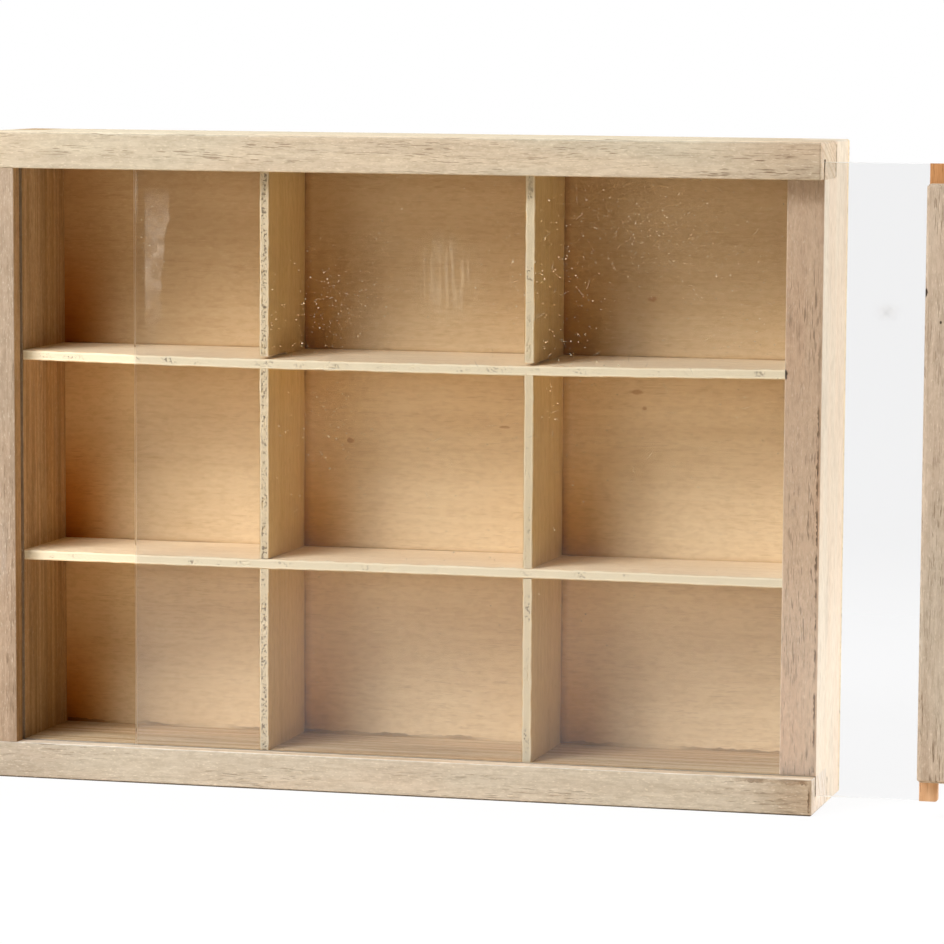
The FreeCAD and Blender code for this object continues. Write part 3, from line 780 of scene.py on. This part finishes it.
def make_acrylic():
    """Clear acrylic: smooth faces, and sawn edges that are frosted where the cut has left them rough."""
    material, nodes = new_material("clear_acrylic")
    edge = near_edge(nodes, *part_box("clear_panel"))
    marks = nodes.scaled(nodes.add("TexCoord").outputs["Object"], (900.0, 900.0, 4000.0))
    marks = nodes.noise(marks, 3.0, 0.7)
    rough = nodes.math("MAXIMUM", nodes.math("MULTIPLY", edge, 0.55), 0.02)
    height = nodes.math("MULTIPLY", marks, edge)
    bump = nodes.add("Bump", {"Strength": 0.7, "Distance": 0.1 * MM, "Height": height})
    shader = nodes.add("BsdfPrincipled", {
        "Base Color": (0.945, 0.945, 0.95, 1), "Roughness": rough, "IOR": 1.49,
        "Transmission Weight": 1.0, "Normal": bump.outputs[0]})
    geometry = nodes.add("NewGeometry")
    normal = nodes.add("SeparateXYZ", {0: geometry.outputs["True Normal"]})
    on_side = nodes.math("LESS_THAN", nodes.math("ABSOLUTE", normal.outputs["Y"]), 0.5)
    edge, inner = nodes.math("MULTIPLY", edge, on_side), geometry.outputs["Backfacing"]
    rim = nodes.add("BsdfTransparent", {"Color": (1.0, 0.99, 0.98, 1)})
    frost = nodes.add("BsdfDiffuse", {"Color": (0.80, 0.81, 0.82, 1)})
    clear = nodes.add("BsdfTransparent", {"Color": (0.9, 0.905, 0.91, 1)})
    from_inside = nodes.math("MULTIPLY", edge, inner)
    sheet = nodes.add("MixShader", {0: from_inside, 1: shader.outputs[0], 2: rim.outputs[0]})
    from_outside = nodes.math("MULTIPLY", edge, nodes.math("SUBTRACT", 0.7, inner))
    sheet = nodes.add("MixShader", {0: from_outside, 1: sheet.outputs[0], 2: frost.outputs[0]})
    path = nodes.add("LightPath")
    unseen = nodes.math("MAXIMUM", path.outputs["Is Shadow Ray"], path.outputs["Is Diffuse Ray"])
    mix = nodes.add("MixShader", {0: unseen, 1: sheet.outputs[0], 2: clear.outputs[0]})
    nodes.add("OutputMaterial", {"Surface": mix.outputs[0]})
    return material


dress("clear_panel", make_acrylic())

# %% [markdown]
# ## Shelves and dividers
# A thin plywood plate is never quite flat, and its sawn edge shows the layers and the open ends of
# the core's fibres. Each plate is the outer skin of a lattice of small cells: the cells of the
# slots are left out, and then the lattice's points are moved a little to bend the plate, round its
# arrises and open the voids on its front edge. What moves the points is smooth noise, which is the same
# in every run because its table of random values is seeded.
# %% Smooth noise
def smooth_noise(x, y, seed, cells=256):
    """Value noise from 0 to 1: random values on a square lattice, blended with a smooth step between them."""
    table = np.random.default_rng(seed).random((cells, cells))
    column, row = np.floor(x).astype(int), np.floor(y).astype(int)
    across, up = x - column, y - row
    across, up = across * across * (3 - 2 * across), up * up * (3 - 2 * up)
    left, right = column % cells, (column + 1) % cells
    low, high = row % cells, (row + 1) % cells
    bottom = table[left, low] * (1 - across) + table[right, low] * across
    top = table[left, high] * (1 - across) + table[right, high] * across
    return bottom * (1 - up) + top * up


def noise_along(place, seed):
    """Smooth noise along one line."""
    return smooth_noise(place, 0 * place, seed)


# %% Lattice skin
def lattice_skin(xs, ys, zs, keep):
    """Outer skin of the kept cells of a lattice with planes at xs, ys and zs.

    keep[i, j, k] says whether the cell between planes i and i+1, j and j+1, k and k+1 is solid.
    A face lies wherever keep changes from a cell to its neighbour, and looks away from the solid one.
    """
    shape = (len(xs), len(ys), len(zs))
    solid = np.pad(keep, 1)
    corners = ((0, 0), (1, 0), (1, 1), (0, 1))
    faces = []
    for axis, second, third in ((0, 1, 2), (1, 2, 0), (2, 0, 1)):
        below = [slice(1, -1)] * 3
        above = [slice(1, -1)] * 3
        below[axis], above[axis] = slice(None, -1), slice(1, None)
        below, above = solid[tuple(below)], solid[tuple(above)]
        for exposed, order in ((below & ~above, corners), (above & ~below, corners[::-1])):
            cell = np.argwhere(exposed)
            face = []
            for step_second, step_third in order:
                point = cell.copy()
                point[:, second] += step_second
                point[:, third] += step_third
                face.append(np.ravel_multi_index(point.T, shape))
            faces.append(np.stack(face, axis=1))
    used, faces = np.unique(np.concatenate(faces), return_inverse=True)
    grid = np.stack(np.meshgrid(xs, ys, zs, indexing="ij"), axis=-1).reshape(-1, 3)
    return grid[used], faces.reshape(-1, 4)


def inside_of(planes, low, high):
    """True for each cell whose middle lies between low and high."""
    middle = (planes[1:] + planes[:-1]) / 2
    return (middle > low) & (middle < high)


def stations(low, high, step, extra):
    """Evenly spaced planes from low to high, with extra planes put in at given places."""
    count = int(round((high - low) / step)) + 1
    even = np.linspace(low, high, count)
    near = np.abs(even[:, None] - np.array(extra)[None, :]).min(axis=1) < step * 0.4
    return np.unique(np.concatenate([even[~near], extra]))


# %% Slotted plate
PLATE_STEP = 0.45 * MM
EDGE_STEPS = np.array([0.0, 0.12, 0.3, 0.7, 1.6, 3.5, 7.0]) * MM
PLY_LAYERS = 10
LAP_CLEARANCE = 0.2 * MM


def plate_lattice(length, depth, thickness, slots, slots_from_front):
    """The plate's points (along, depth, thickness) from 0 and its faces, without the slots' cells."""
    along = stations(0.0, length, PLATE_STEP, [0.0, length, *(side for slot in slots for side in slot)])
    middle = depth / 2 + (LAP_CLEARANCE / 2 if slots_from_front else -LAP_CLEARANCE / 2)
    back = np.append(EDGE_STEPS, [12 * MM, middle, 24 * MM, 31 * MM, depth])
    through = np.linspace(0.0, thickness, PLY_LAYERS + 1)
    keep = np.ones((len(along) - 1, len(back) - 1, len(through) - 1), dtype=bool)
    cut = inside_of(back, 0.0, middle) if slots_from_front else inside_of(back, middle, depth)
    for low, high in slots:
        keep[np.ix_(inside_of(along, low, high), cut, np.ones(PLY_LAYERS, dtype=bool))] = False
    return lattice_skin(along, back, through, keep)


def worn_front(u, w, layer, thickness, seed, openness):
    """How far each point of the front edge moves in: rounding, then core voids in rows, then fuzz.

    The rounding pulls a point near a corner in by what a circle of a slightly ragged radius would take.
    """
    radius = 0.25 * MM + 0.2 * MM * (smooth_noise(u / (3 * MM), layer * 2, seed) - 0.3)
    corner = np.clip(1 - np.minimum(w, thickness - w) / radius, 0, 1)
    pull = radius * (1 - np.sqrt(1 - corner ** 2))
    core = (layer > 0.24) & (layer < 0.76)
    voids = np.clip(smooth_noise(u / (0.9 * MM), w / (0.45 * MM), seed + 1) - 0.62, 0, 1) / 0.38
    rows = np.clip(smooth_noise(u / (9 * MM), layer, seed + 2) * 2.2 - 0.7 + 4 * openness, 0, 1)
    opened = 0.4 * MM * voids * rows * core
    fuzz = 0.06 * MM * smooth_noise(u / (0.7 * MM), w / (0.4 * MM), seed + 3)
    return pull + opened + fuzz


def ply_plate(size, slots, slots_from_front, bow, seed, openness):
    """A slotted plate of plywood, as points (along, depth, thickness) from 0, its faces and its layer values.

    The bow is bow * (1 - (2u - 1)^2) across the thickness at the front edge and fades to nothing at the
    rear, whose edge stands a little short of the back panel here and there.
    """
    length, depth, thickness = size
    points, faces = plate_lattice(length, depth, thickness, slots, slots_from_front)
    u, v, w = points.T.copy()
    layer = w / thickness
    front = np.where(v < 0.05 * MM, worn_front(u, w, layer, thickness, seed, openness), 0.0)
    rear_gap = 0.5 * MM * np.clip(noise_along(u / (7 * MM), seed + 5) - 0.25, 0, 1)
    moved = v + front - np.where(v > depth - 0.05 * MM, rear_gap, 0.0)
    bend = bow * (1 - (2 * u / length - 1) ** 2) + 0.18 * MM * (noise_along(u / (38 * MM), seed + 4) - 0.5)
    return np.stack([u, moved, w + bend * (1 - v / depth)], axis=1), faces, layer


# %% Shelves and dividers
BODY = "case"
DIVIDERS = {name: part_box(name) for name in ("left_divider", "right_divider")}
SHELVES = {name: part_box(name) for name in ("lower_shelf", "upper_shelf")}
SHELF_TONES = BACK_TONES
DIVIDER_TONES = (0.86, 0.65, 0.33), (0.77, 0.56, 0.26)


def slot_spans(crossing, axis, start):
    """Where the crossing plates pass, with their clearance, measured from start along axis."""
    return [(low[axis] - start - LAP_CLEARANCE / 2, high[axis] - start + LAP_CLEARANCE / 2)
            for low, high in crossing.values()]


def fit_plate(node, points, faces, layer, material):
    """Puts a plate in its node's place, on the case, and lets it stand for the node."""
    piece = new_piece(f"{node}_plate", points + np.array(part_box(node)[0]), faces, material, BODY)
    write_values(piece, "ply_layer", layer)
    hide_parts(node)


def make_shelf(name, bow, seed, openness):
    """A shelf: along is X, depth is Y and thickness is Z, with its slots cut from the rear."""
    low, high = SHELVES[name]
    size = [high[axis] - low[axis] for axis in (0, 1, 2)]
    points, faces, layer = ply_plate(size, slot_spans(DIVIDERS, 0, low[0]), False, bow, seed, openness)
    fit_plate(name, points, faces, layer, plywood(
        f"{name}_ply", "x", (0.1 * seed, 0.3, 0.2), layer_from_attribute, SHELF_TONES, openness=openness))


def make_divider(name, seed, openness, edge):
    """A divider is the same plate stood upright: along is Z, depth is Y and thickness is X."""
    low, high = DIVIDERS[name]
    size = [high[axis] - low[axis] for axis in (2, 1, 0)]
    points, faces, layer = ply_plate(size, slot_spans(SHELVES, 2, low[2]), True, 0.0, seed, openness)
    fit_plate(name, points[:, [2, 1, 0]], faces[:, ::-1], layer, plywood(
        f"{name}_ply", "z", (0.1 * seed, 0.5, 0.4), layer_from_attribute, DIVIDER_TONES,
        front_edge=edge, openness=openness))


make_shelf("lower_shelf", 0.0, 11, -0.16)
make_shelf("upper_shelf", -0.9 * MM, 12, -0.12)
make_divider("left_divider", 13, 0.12, (0.88, 0.83, 0.78))
make_divider("right_divider", 14, -0.13, (0.84, 0.80, 0.75))

# %% [markdown]
# ## The batten
# The strip at the end of the clear sheet is sawn rather than planed, so its arrises are torn here and
# there. It is the skin of a lattice again, with the cells of the tongue's rebate left out behind, and
# its planes lie close together near the edges, where the points have to move by tenths of a millimetre.
# %% Batten
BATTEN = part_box("end_batten")
BATTEN_TONES = (0.55, 0.485, 0.41), (0.43, 0.365, 0.30)
BATTEN_NICKS = [(162.3, -23.6, 156.7, 0.9, 1.5), (167.0, -23.8, 148.0, 0.35, 0.5)]
FINE_STEPS = np.array([0.0, 0.2, 0.5, 1.0, 2.0]) * MM
ARRIS_REACH = 0.9 * MM


def batten_lattice(low, size):
    """The batten's points from 0 and its faces: planes crowd near the edges, and the rebate is cut out."""
    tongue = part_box("guide_tongue")
    rebate_right, rebate_front = tongue[1][0] - low[0], tongue[0][1] - low[1]
    xs = np.concatenate([FINE_STEPS, [rebate_right], size[0] - FINE_STEPS[::-1]])
    ys = np.concatenate([FINE_STEPS, [size[1] / 2, rebate_front], size[1] - FINE_STEPS[-2::-1]])
    ends = FINE_STEPS[-1]
    zs = np.concatenate([FINE_STEPS[:-1], stations(ends, size[2] - ends, 0.6 * MM, [ends, size[2] - ends]),
                         size[2] - FINE_STEPS[:-1][::-1]])
    keep = np.ones((len(xs) - 1, len(ys) - 1, len(zs) - 1), dtype=bool)
    rebate = inside_of(xs, 0.0, rebate_right), inside_of(ys, rebate_front, size[1]), inside_of(zs, 0.0, size[2])
    keep[np.ix_(*rebate)] = False
    return lattice_skin(xs, ys, zs, keep)


def make_batten():
    """Each point near an arris is pulled in on both sides by noise along that arris."""
    low, high = (np.array(corner) for corner in BATTEN)
    size = high - low
    points, faces = batten_lattice(low, size)
    sides = np.minimum(points, size - points)
    toward = np.where(points < size / 2, 1.0, -1.0)
    moved = points.copy()
    for first, second, along in ((0, 1, 2), (0, 2, 1), (1, 2, 0)):
        closeness = np.clip(1 - (sides[:, first] + sides[:, second]) / ARRIS_REACH, 0, 1) ** 2
        number = 40 * (toward[:, first] > 0) + 80 * (toward[:, second] > 0)
        rough = smooth_noise(points[:, along] / (2.2 * MM) + number, number, 31 + along)
        rough = rough + 0.8 * smooth_noise(points[:, along] / (0.8 * MM), number, 41 + along)
        amount = closeness * (0.18 + 0.34 * rough) * MM
        moved[:, first] += toward[:, first] * amount
        moved[:, second] += toward[:, second] * amount
    # painted highlight: the batten's top end is made paler, where it catches the light; its right face is paler
    # too
    wood = board_wood("batten_wood", "z", BATTEN_TONES, (3.2, 0.27, 0.11),
                      tints=[("X", 1.0, (1.2, 1.18, 1.15)), ("Z", 1.0, (1.35, 1.3, 1.2))],
                      pore_depth=0.7, marks=BATTEN_NICKS)
    piece = new_piece("end_batten_strip", moved + low, faces, wood, "sliding_front")
    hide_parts("end_batten")


make_batten()

# %% [markdown]
# ## Dust and marks on the clear sheet
# A new case comes with sawdust on its sheet, fine scratches, and the ghost of the tape that held it. All
# of it lies on the front face, so all of it is flat pieces a few hundredths of a millimetre in front,
# which slide with the sheet. Each carries its opacity as a value on its points: that costs nothing, and
# keeps the sheet's own glass plain.
# %% Film helpers
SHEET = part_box("clear_panel")
FILM_GAP = 0.03 * MM
# the part of the sheet that shows between the boards, in millimetres
WINDOW_LEFT, WINDOW_RIGHT, WINDOW_LOW, WINDOW_HIGH = -82, 128, 7, 192


def film_material(name, colour):
    """A thin deposit: matt, and as opaque as the mesh's opacity value."""
    material, nodes = new_material(name)
    opacity = nodes.add("Attribute", attribute_name="opacity").outputs["Fac"]
    shader = nodes.add("BsdfPrincipled", {"Base Color": (*colour, 1), "Roughness": 0.9, "Alpha": opacity})
    nodes.add("OutputMaterial", {"Surface": shader.outputs[0]})
    return material


def on_sheet(name, places, faces, opacity, material):
    """A flat piece just in front of the sheet from points (x, z) in millimetres."""
    depth = np.full(len(places), SHEET[0][1] - FILM_GAP)
    points = np.stack([places[:, 0] * MM, depth, places[:, 1] * MM], axis=1)
    piece = new_piece(name, points, faces, material, "sliding_front")
    write_values(piece, "opacity", opacity)


def in_window(places):
    """True where a place (x, z) shows between the boards."""
    x, z = places[:, 0], places[:, 1]
    return (x > WINDOW_LEFT) & (x < WINDOW_RIGHT) & (z > WINDOW_LOW) & (z < WINDOW_HIGH)


def polar(angle, reach):
    """Points at an angle and a distance from the origin."""
    return np.stack([np.cos(angle) * reach, np.sin(angle) * reach], axis=-1)


# %% Dust
# (x, z, half width, half height, grains) of each loose cloud, in millimetres
CLOUDS = [(-77, 168, 5, 18, 90), (78, 172, 34, 16, 480), (-20, 147, 20, 16, 260), (-20, 110, 16, 20, 140),
          (55, 140, 14, 34, 220), (20, 160, 50, 26, 320), (100, 150, 22, 34, 200), (30, 80, 90, 60, 240)]
GRAIN_SIDES = 6
DUST_STRENGTH = 0.85


def make_dust():
    """Grains of sawdust: small irregular hexagons, spread round each cloud's middle by the normal law."""
    rng = np.random.default_rng(5)
    centres = np.concatenate([rng.normal(0, 0.5, (count, 2)) * (wide, high) + (x, z)
                              for x, z, wide, high, count in CLOUDS])
    centres = centres[in_window(centres)]
    count = len(centres)
    size = 0.10 + 0.13 * rng.random(count) ** 3
    turn = rng.uniform(0, math.tau, count)[:, None] + np.arange(GRAIN_SIDES)[None, :] * math.tau / GRAIN_SIDES
    reach = size[:, None] * rng.uniform(0.6, 1.4, (count, GRAIN_SIDES))
    rim = (centres[:, None, :] + polar(turn, reach)).reshape(-1, 2)
    opacity = DUST_STRENGTH * (0.25 + 0.70 * rng.random(count) ** 1.5)
    on_sheet("panel_dust", rim, np.arange(count * GRAIN_SIDES).reshape(count, GRAIN_SIDES),
             np.repeat(opacity, GRAIN_SIDES), film_material("dust", (0.95, 0.86, 0.66)))
    print("dust grains:", count)


make_dust()

# %% Scratches
HAIR_COUNT, HAIR_POINTS = 70, 9
HAIR_STRENGTH = 0.22


def make_hairs():
    """Fine curved scratches: ribbons along arcs, (x + r cos a, z + r sin a) for a short run of a."""
    rng = np.random.default_rng(8)
    count, steps = HAIR_COUNT, HAIR_POINTS
    centre = np.stack([rng.uniform(10, 118, count), rng.uniform(95, 185, count)], axis=1)
    radius = rng.uniform(2, 12, count)[:, None]
    start = rng.uniform(0, math.tau, count)[:, None]
    angle = start + (rng.uniform(1.0, 4, count)[:, None] / radius) * np.linspace(0, 1, steps)[None, :]
    width = 0.09 * np.sin(np.linspace(0.15, math.pi - 0.15, steps))[None, :]
    sides = [centre[:, None, :] + polar(angle, radius + side * width) for side in (-1, 1)]
    points = np.stack(sides, axis=2).reshape(-1, 2)
    first = (np.arange(count)[:, None] * steps + np.arange(steps - 1)[None, :]) * 2
    faces = np.stack([first, first + 1, first + 3, first + 2], axis=-1).reshape(-1, 4)
    on_sheet("panel_scratches", points, faces, HAIR_STRENGTH * in_window(points),
             film_material("scratches", (0.88, 0.80, 0.66)))


make_hairs()

# %% Smear, smudge and strokes
SMEAR_STRENGTH, SMUDGE_STRENGTH, STROKE_STRENGTH = 0.26, 0.35, 0.16
WIPED = (17.0, 157.0)


def film_patch(name, corner, size, step, shape, material):
    """A grid of points, in millimetres, with the opacity that shape(x, z) gives."""
    xs = np.arange(corner[0], corner[0] + size[0] + step / 2, step)
    zs = np.arange(corner[1], corner[1] + size[1] + step / 2, step)
    grid = np.stack(np.meshgrid(xs, zs, indexing="ij"), axis=-1).reshape(-1, 2)
    row = np.arange(len(xs) - 1)[:, None] * len(zs) + np.arange(len(zs) - 1)[None, :]
    faces = np.stack([row, row + len(zs), row + len(zs) + 1, row + 1], axis=-1).reshape(-1, 4)
    on_sheet(name, grid, faces, shape(grid[:, 0], grid[:, 1]), material)


def smear_shape(x, z):
    """The ghost of a strip of tape: a band with one straight side and one ragged one, faint below."""
    ragged = -71.6 - 0.085 * (176 - z) + 1.8 * (noise_along(z / 3.0, 51) - 0.5)
    inside = np.clip((x + 79.3) / 0.4, 0, 1) * np.clip((ragged - x) / 0.5, 0, 1)
    along = np.clip((184 - z) / 4.0, 0, 1) * (0.12 + 0.88 * np.clip((z - 140) / 14, 0, 1))
    clumps = 0.20 + 0.50 * smooth_noise(x / 2.0, z / 2.2, 52) ** 1.5
    specks = 2.0 * np.clip(smooth_noise(x / 0.7, z / 0.7, 53) - 0.75, 0, 1)
    above = 1.0 - 0.6 * np.clip((z - 174) / 4, 0, 1)
    rim = np.clip((-81.3 - x) / 0.3, 0, 1) * (0.10 + 0.45 * np.clip((z - 172) / 6, 0, 1)) * (0.5 + specks)
    return SMEAR_STRENGTH * (inside * along * (clumps + specks) * above + rim)


def smudge_shape(x, z):
    """A thumb-sized soft smudge."""
    distance = np.hypot((x - 150.6) / 2.6, (z - 150.5) / 2.0)
    return SMUDGE_STRENGTH * np.exp(-distance ** 2) * (0.4 + 0.6 * smooth_noise(x / 1.5, z / 1.5, 54))


def wiped_shape(x, z):
    """Faint upright strokes where a cloth has wiped the sheet, inside a soft oval."""
    oval = np.exp(-(((x - WIPED[0]) / 9.0) ** 2 + ((z - WIPED[1]) / 11.5) ** 2) ** 1.5)
    strokes = np.clip(smooth_noise(x / 0.55 + 0.05 * z, z / 8.0, 55) * 2.0 - 0.85, 0, 1)
    return STROKE_STRENGTH * oval * (0.15 + strokes)


film_patch("panel_strokes", (-2.0, 132.0), (38.0, 50.0), 0.3, wiped_shape,
           film_material("strokes", (0.90, 0.80, 0.62)))
film_patch("panel_smear", (-82.6, 18.0), (12.2, 170.0), 0.35, smear_shape,
           film_material("smear", (0.86, 0.76, 0.66)))
film_patch("panel_smudge", (144.5, 145.5), (12.0, 10.0), 0.4, smudge_shape,
           film_material("smudge", (0.42, 0.42, 0.42)))

# %% [markdown]
# ## Lines in the joints
# Three kinds of thin dark line lie in the joints: at the lower right, a dark line along the top of the
# bottom rail's front and painted shadow lines down the front right arrises; glue pressed out of the corner
# joints on the right end; and painted shadow along the seams where shelves, dividers and floor meet
# the back. All are ribbons that lie a few hundredths of a millimetre off the wood, ragged in width and
# broken by their opacity. A ribbon's faces look outwards where the vector across it, crossed with the
# way it runs, points away from the wood.
# %% Ribbons
LINE_GAP = 0.04


def ribbon(name, middle, across, half, colour, opacity):
    """A ribbon along middle (n x 3, millimetres), half wide each way along the vector across."""
    points = np.stack([middle - half[:, None] * across, middle + half[:, None] * across], axis=1)
    first = np.arange(len(middle) - 1) * 2
    faces = np.stack([first, first + 1, first + 3, first + 2], axis=1)
    material = film_material(f"{name}_line", colour)
    piece = new_piece(name, points.reshape(-1, 3) * MM, faces, material, BODY)
    write_values(piece, "opacity", np.repeat(opacity, 2))


# %% Dark edge lines
EDGE_DARK_BROWN = (0.25, 0.145, 0.075)
RAIL_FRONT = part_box("bottom_rail")[0][1] / MM - LINE_GAP
SIDE_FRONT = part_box("right_side")[0][1] / MM - LINE_GAP
DOWN, LEFTWARD = (0.0, 0.0, -1.0), (-1.0, 0.0, 0.0)


def dark_edge_line(name, start, end, across, width, fade, seed, strength):
    """A dark line on a board's edge, straight on the edge from start to end, ragged along the vector across.

    The line comes in over the first fade millimetres, and slow noise breaks it into patches.
    """
    start, end, across = np.array(start), np.array(end), np.array(across)
    length = np.linalg.norm(end - start)
    along = np.arange(0.0, length, 0.25)
    ragged = 0.5 * noise_along(along / 2.0, seed) + 0.5 * noise_along(along / 0.6, seed + 2)
    half = width * (0.1 + 0.9 * ragged) / 2
    middle = start + along[:, None] * (end - start) / length + half[:, None] * across
    patches = np.clip(1.6 * noise_along(along / 2.2, seed + 1) - 0.2, 0.0, 1.0)
    ribbon(name, middle, across, half, EDGE_DARK_BROWN, strength * np.clip(along / fade, 0, 1) * patches)


# a dark line along the top of the bottom rail's front, at its right end
dark_edge_line("bottom_rail_dark_edge", (104.0, RAIL_FRONT, 10.8), (130.2, RAIL_FRONT, 10.8), DOWN,
           width=2.2, fade=16.0, seed=121, strength=0.5)
# painted shadow lines down the front right arrises of the bottom rail and the right board
dark_edge_line("bottom_rail_corner_shadow", (130.3, RAIL_FRONT, 10.8), (130.3, RAIL_FRONT, 0.8), LEFTWARD,
           width=0.8, fade=0.5, seed=131, strength=0.7)
dark_edge_line("right_side_corner_shadow", (130.4, SIDE_FRONT, 160.0), (130.4, SIDE_FRONT, 12.0), LEFTWARD,
           width=1.0, fade=50.0, seed=141, strength=0.65)

# %% Glue lines
def glue_line(name, y, low, high, width, seed, colour, strength):
    """A line of glue that was squeezed out of a joint on the right end, wandering and ragged."""
    z = np.arange(low, high, 0.4)
    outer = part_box("top_rail")[1][0] / MM + LINE_GAP
    middle = np.stack([0 * z + outer, y + 0.5 * (noise_along(z / 3.0, seed) - 0.5), z], axis=1)
    half = width * (0.3 + 0.7 * noise_along(z / 1.4, seed + 1)) / 2
    opacity = strength * (0.4 + 0.6 * noise_along(z / 2.0, seed + 2))
    ribbon(name, middle, np.array([0.0, 1.0, 0.0]), half, colour, opacity)


glue_line("top_joint_line", 1.2, 189.2, 199.0, 1.7, 61, (0.30, 0.27, 0.19), 0.9)
glue_line("bottom_joint_line", 1.4, 1.0, 8.5, 1.6, 71, (0.36, 0.34, 0.26), 0.5)

# %% Painted shadow in the seams at the back
SEAM_SHADOW_BROWN = (0.26, 0.13, 0.05)
BACK_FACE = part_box("back_panel")[0][1] / MM - LINE_GAP
FLOOR_TOP = DIVIDERS["left_divider"][0][2] / MM
INNER_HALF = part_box("right_side")[0][0] / MM - 0.3
SEAM_STEP = 0.6


def broken(place, seed, strength):
    """Opacity from a tenth to all of the strength, by slow noise."""
    return strength * np.clip(1.5 * noise_along(place, seed) - 0.1, 0.1, 1.0)


def level_seam_shadow(name, z, width, seed, strength):
    """Painted shadow: the dark line of a level joint with the back, from side board to side board."""
    x = np.arange(-INNER_HALF, INNER_HALF, SEAM_STEP)
    half = width * (0.2 + 0.5 * noise_along(x / 5.0, seed + 1) + 0.4 * noise_along(x / 1.4, seed + 7)) / 2
    middle = np.stack([x, 0 * x + BACK_FACE, z + half], axis=1)
    ribbon(name, middle, np.array([0.0, 0.0, -1.0]), half, SEAM_SHADOW_BROWN, broken(x / 11.0, seed + 2, strength))


def upright_seam_shadow(name, x, low, high, width, seed, strength):
    """Painted shadow: the dark line where a divider meets the back panel."""
    z = np.arange(low, high, SEAM_STEP)
    half = width * (0.15 + 0.85 * noise_along(z / 3.0, seed)) / 2
    middle = np.stack([x + half, 0 * z + BACK_FACE, z], axis=1)
    ribbon(name, middle, np.array([1.0, 0.0, 0.0]), half, SEAM_SHADOW_BROWN, broken(z / 9.0, seed + 1, strength))


# painted shadow along the joints of floor, shelves and dividers with the back
level_seam_shadow("floor_seam_shadow", FLOOR_TOP, 1.4, 81, 0.36)
for number, (name, (low, high)) in enumerate(SHELVES.items()):
    level_seam_shadow(f"{name}_seam", high[2] / MM, 0.5, 91 + 3 * number, 0.2)
for number, (name, (low, high)) in enumerate(DIVIDERS.items()):
    upright_seam_shadow(f"{name}_seam", high[0] / MM, low[2] / MM, high[2] / MM, 0.7, 101 + 3 * number, 0.2)
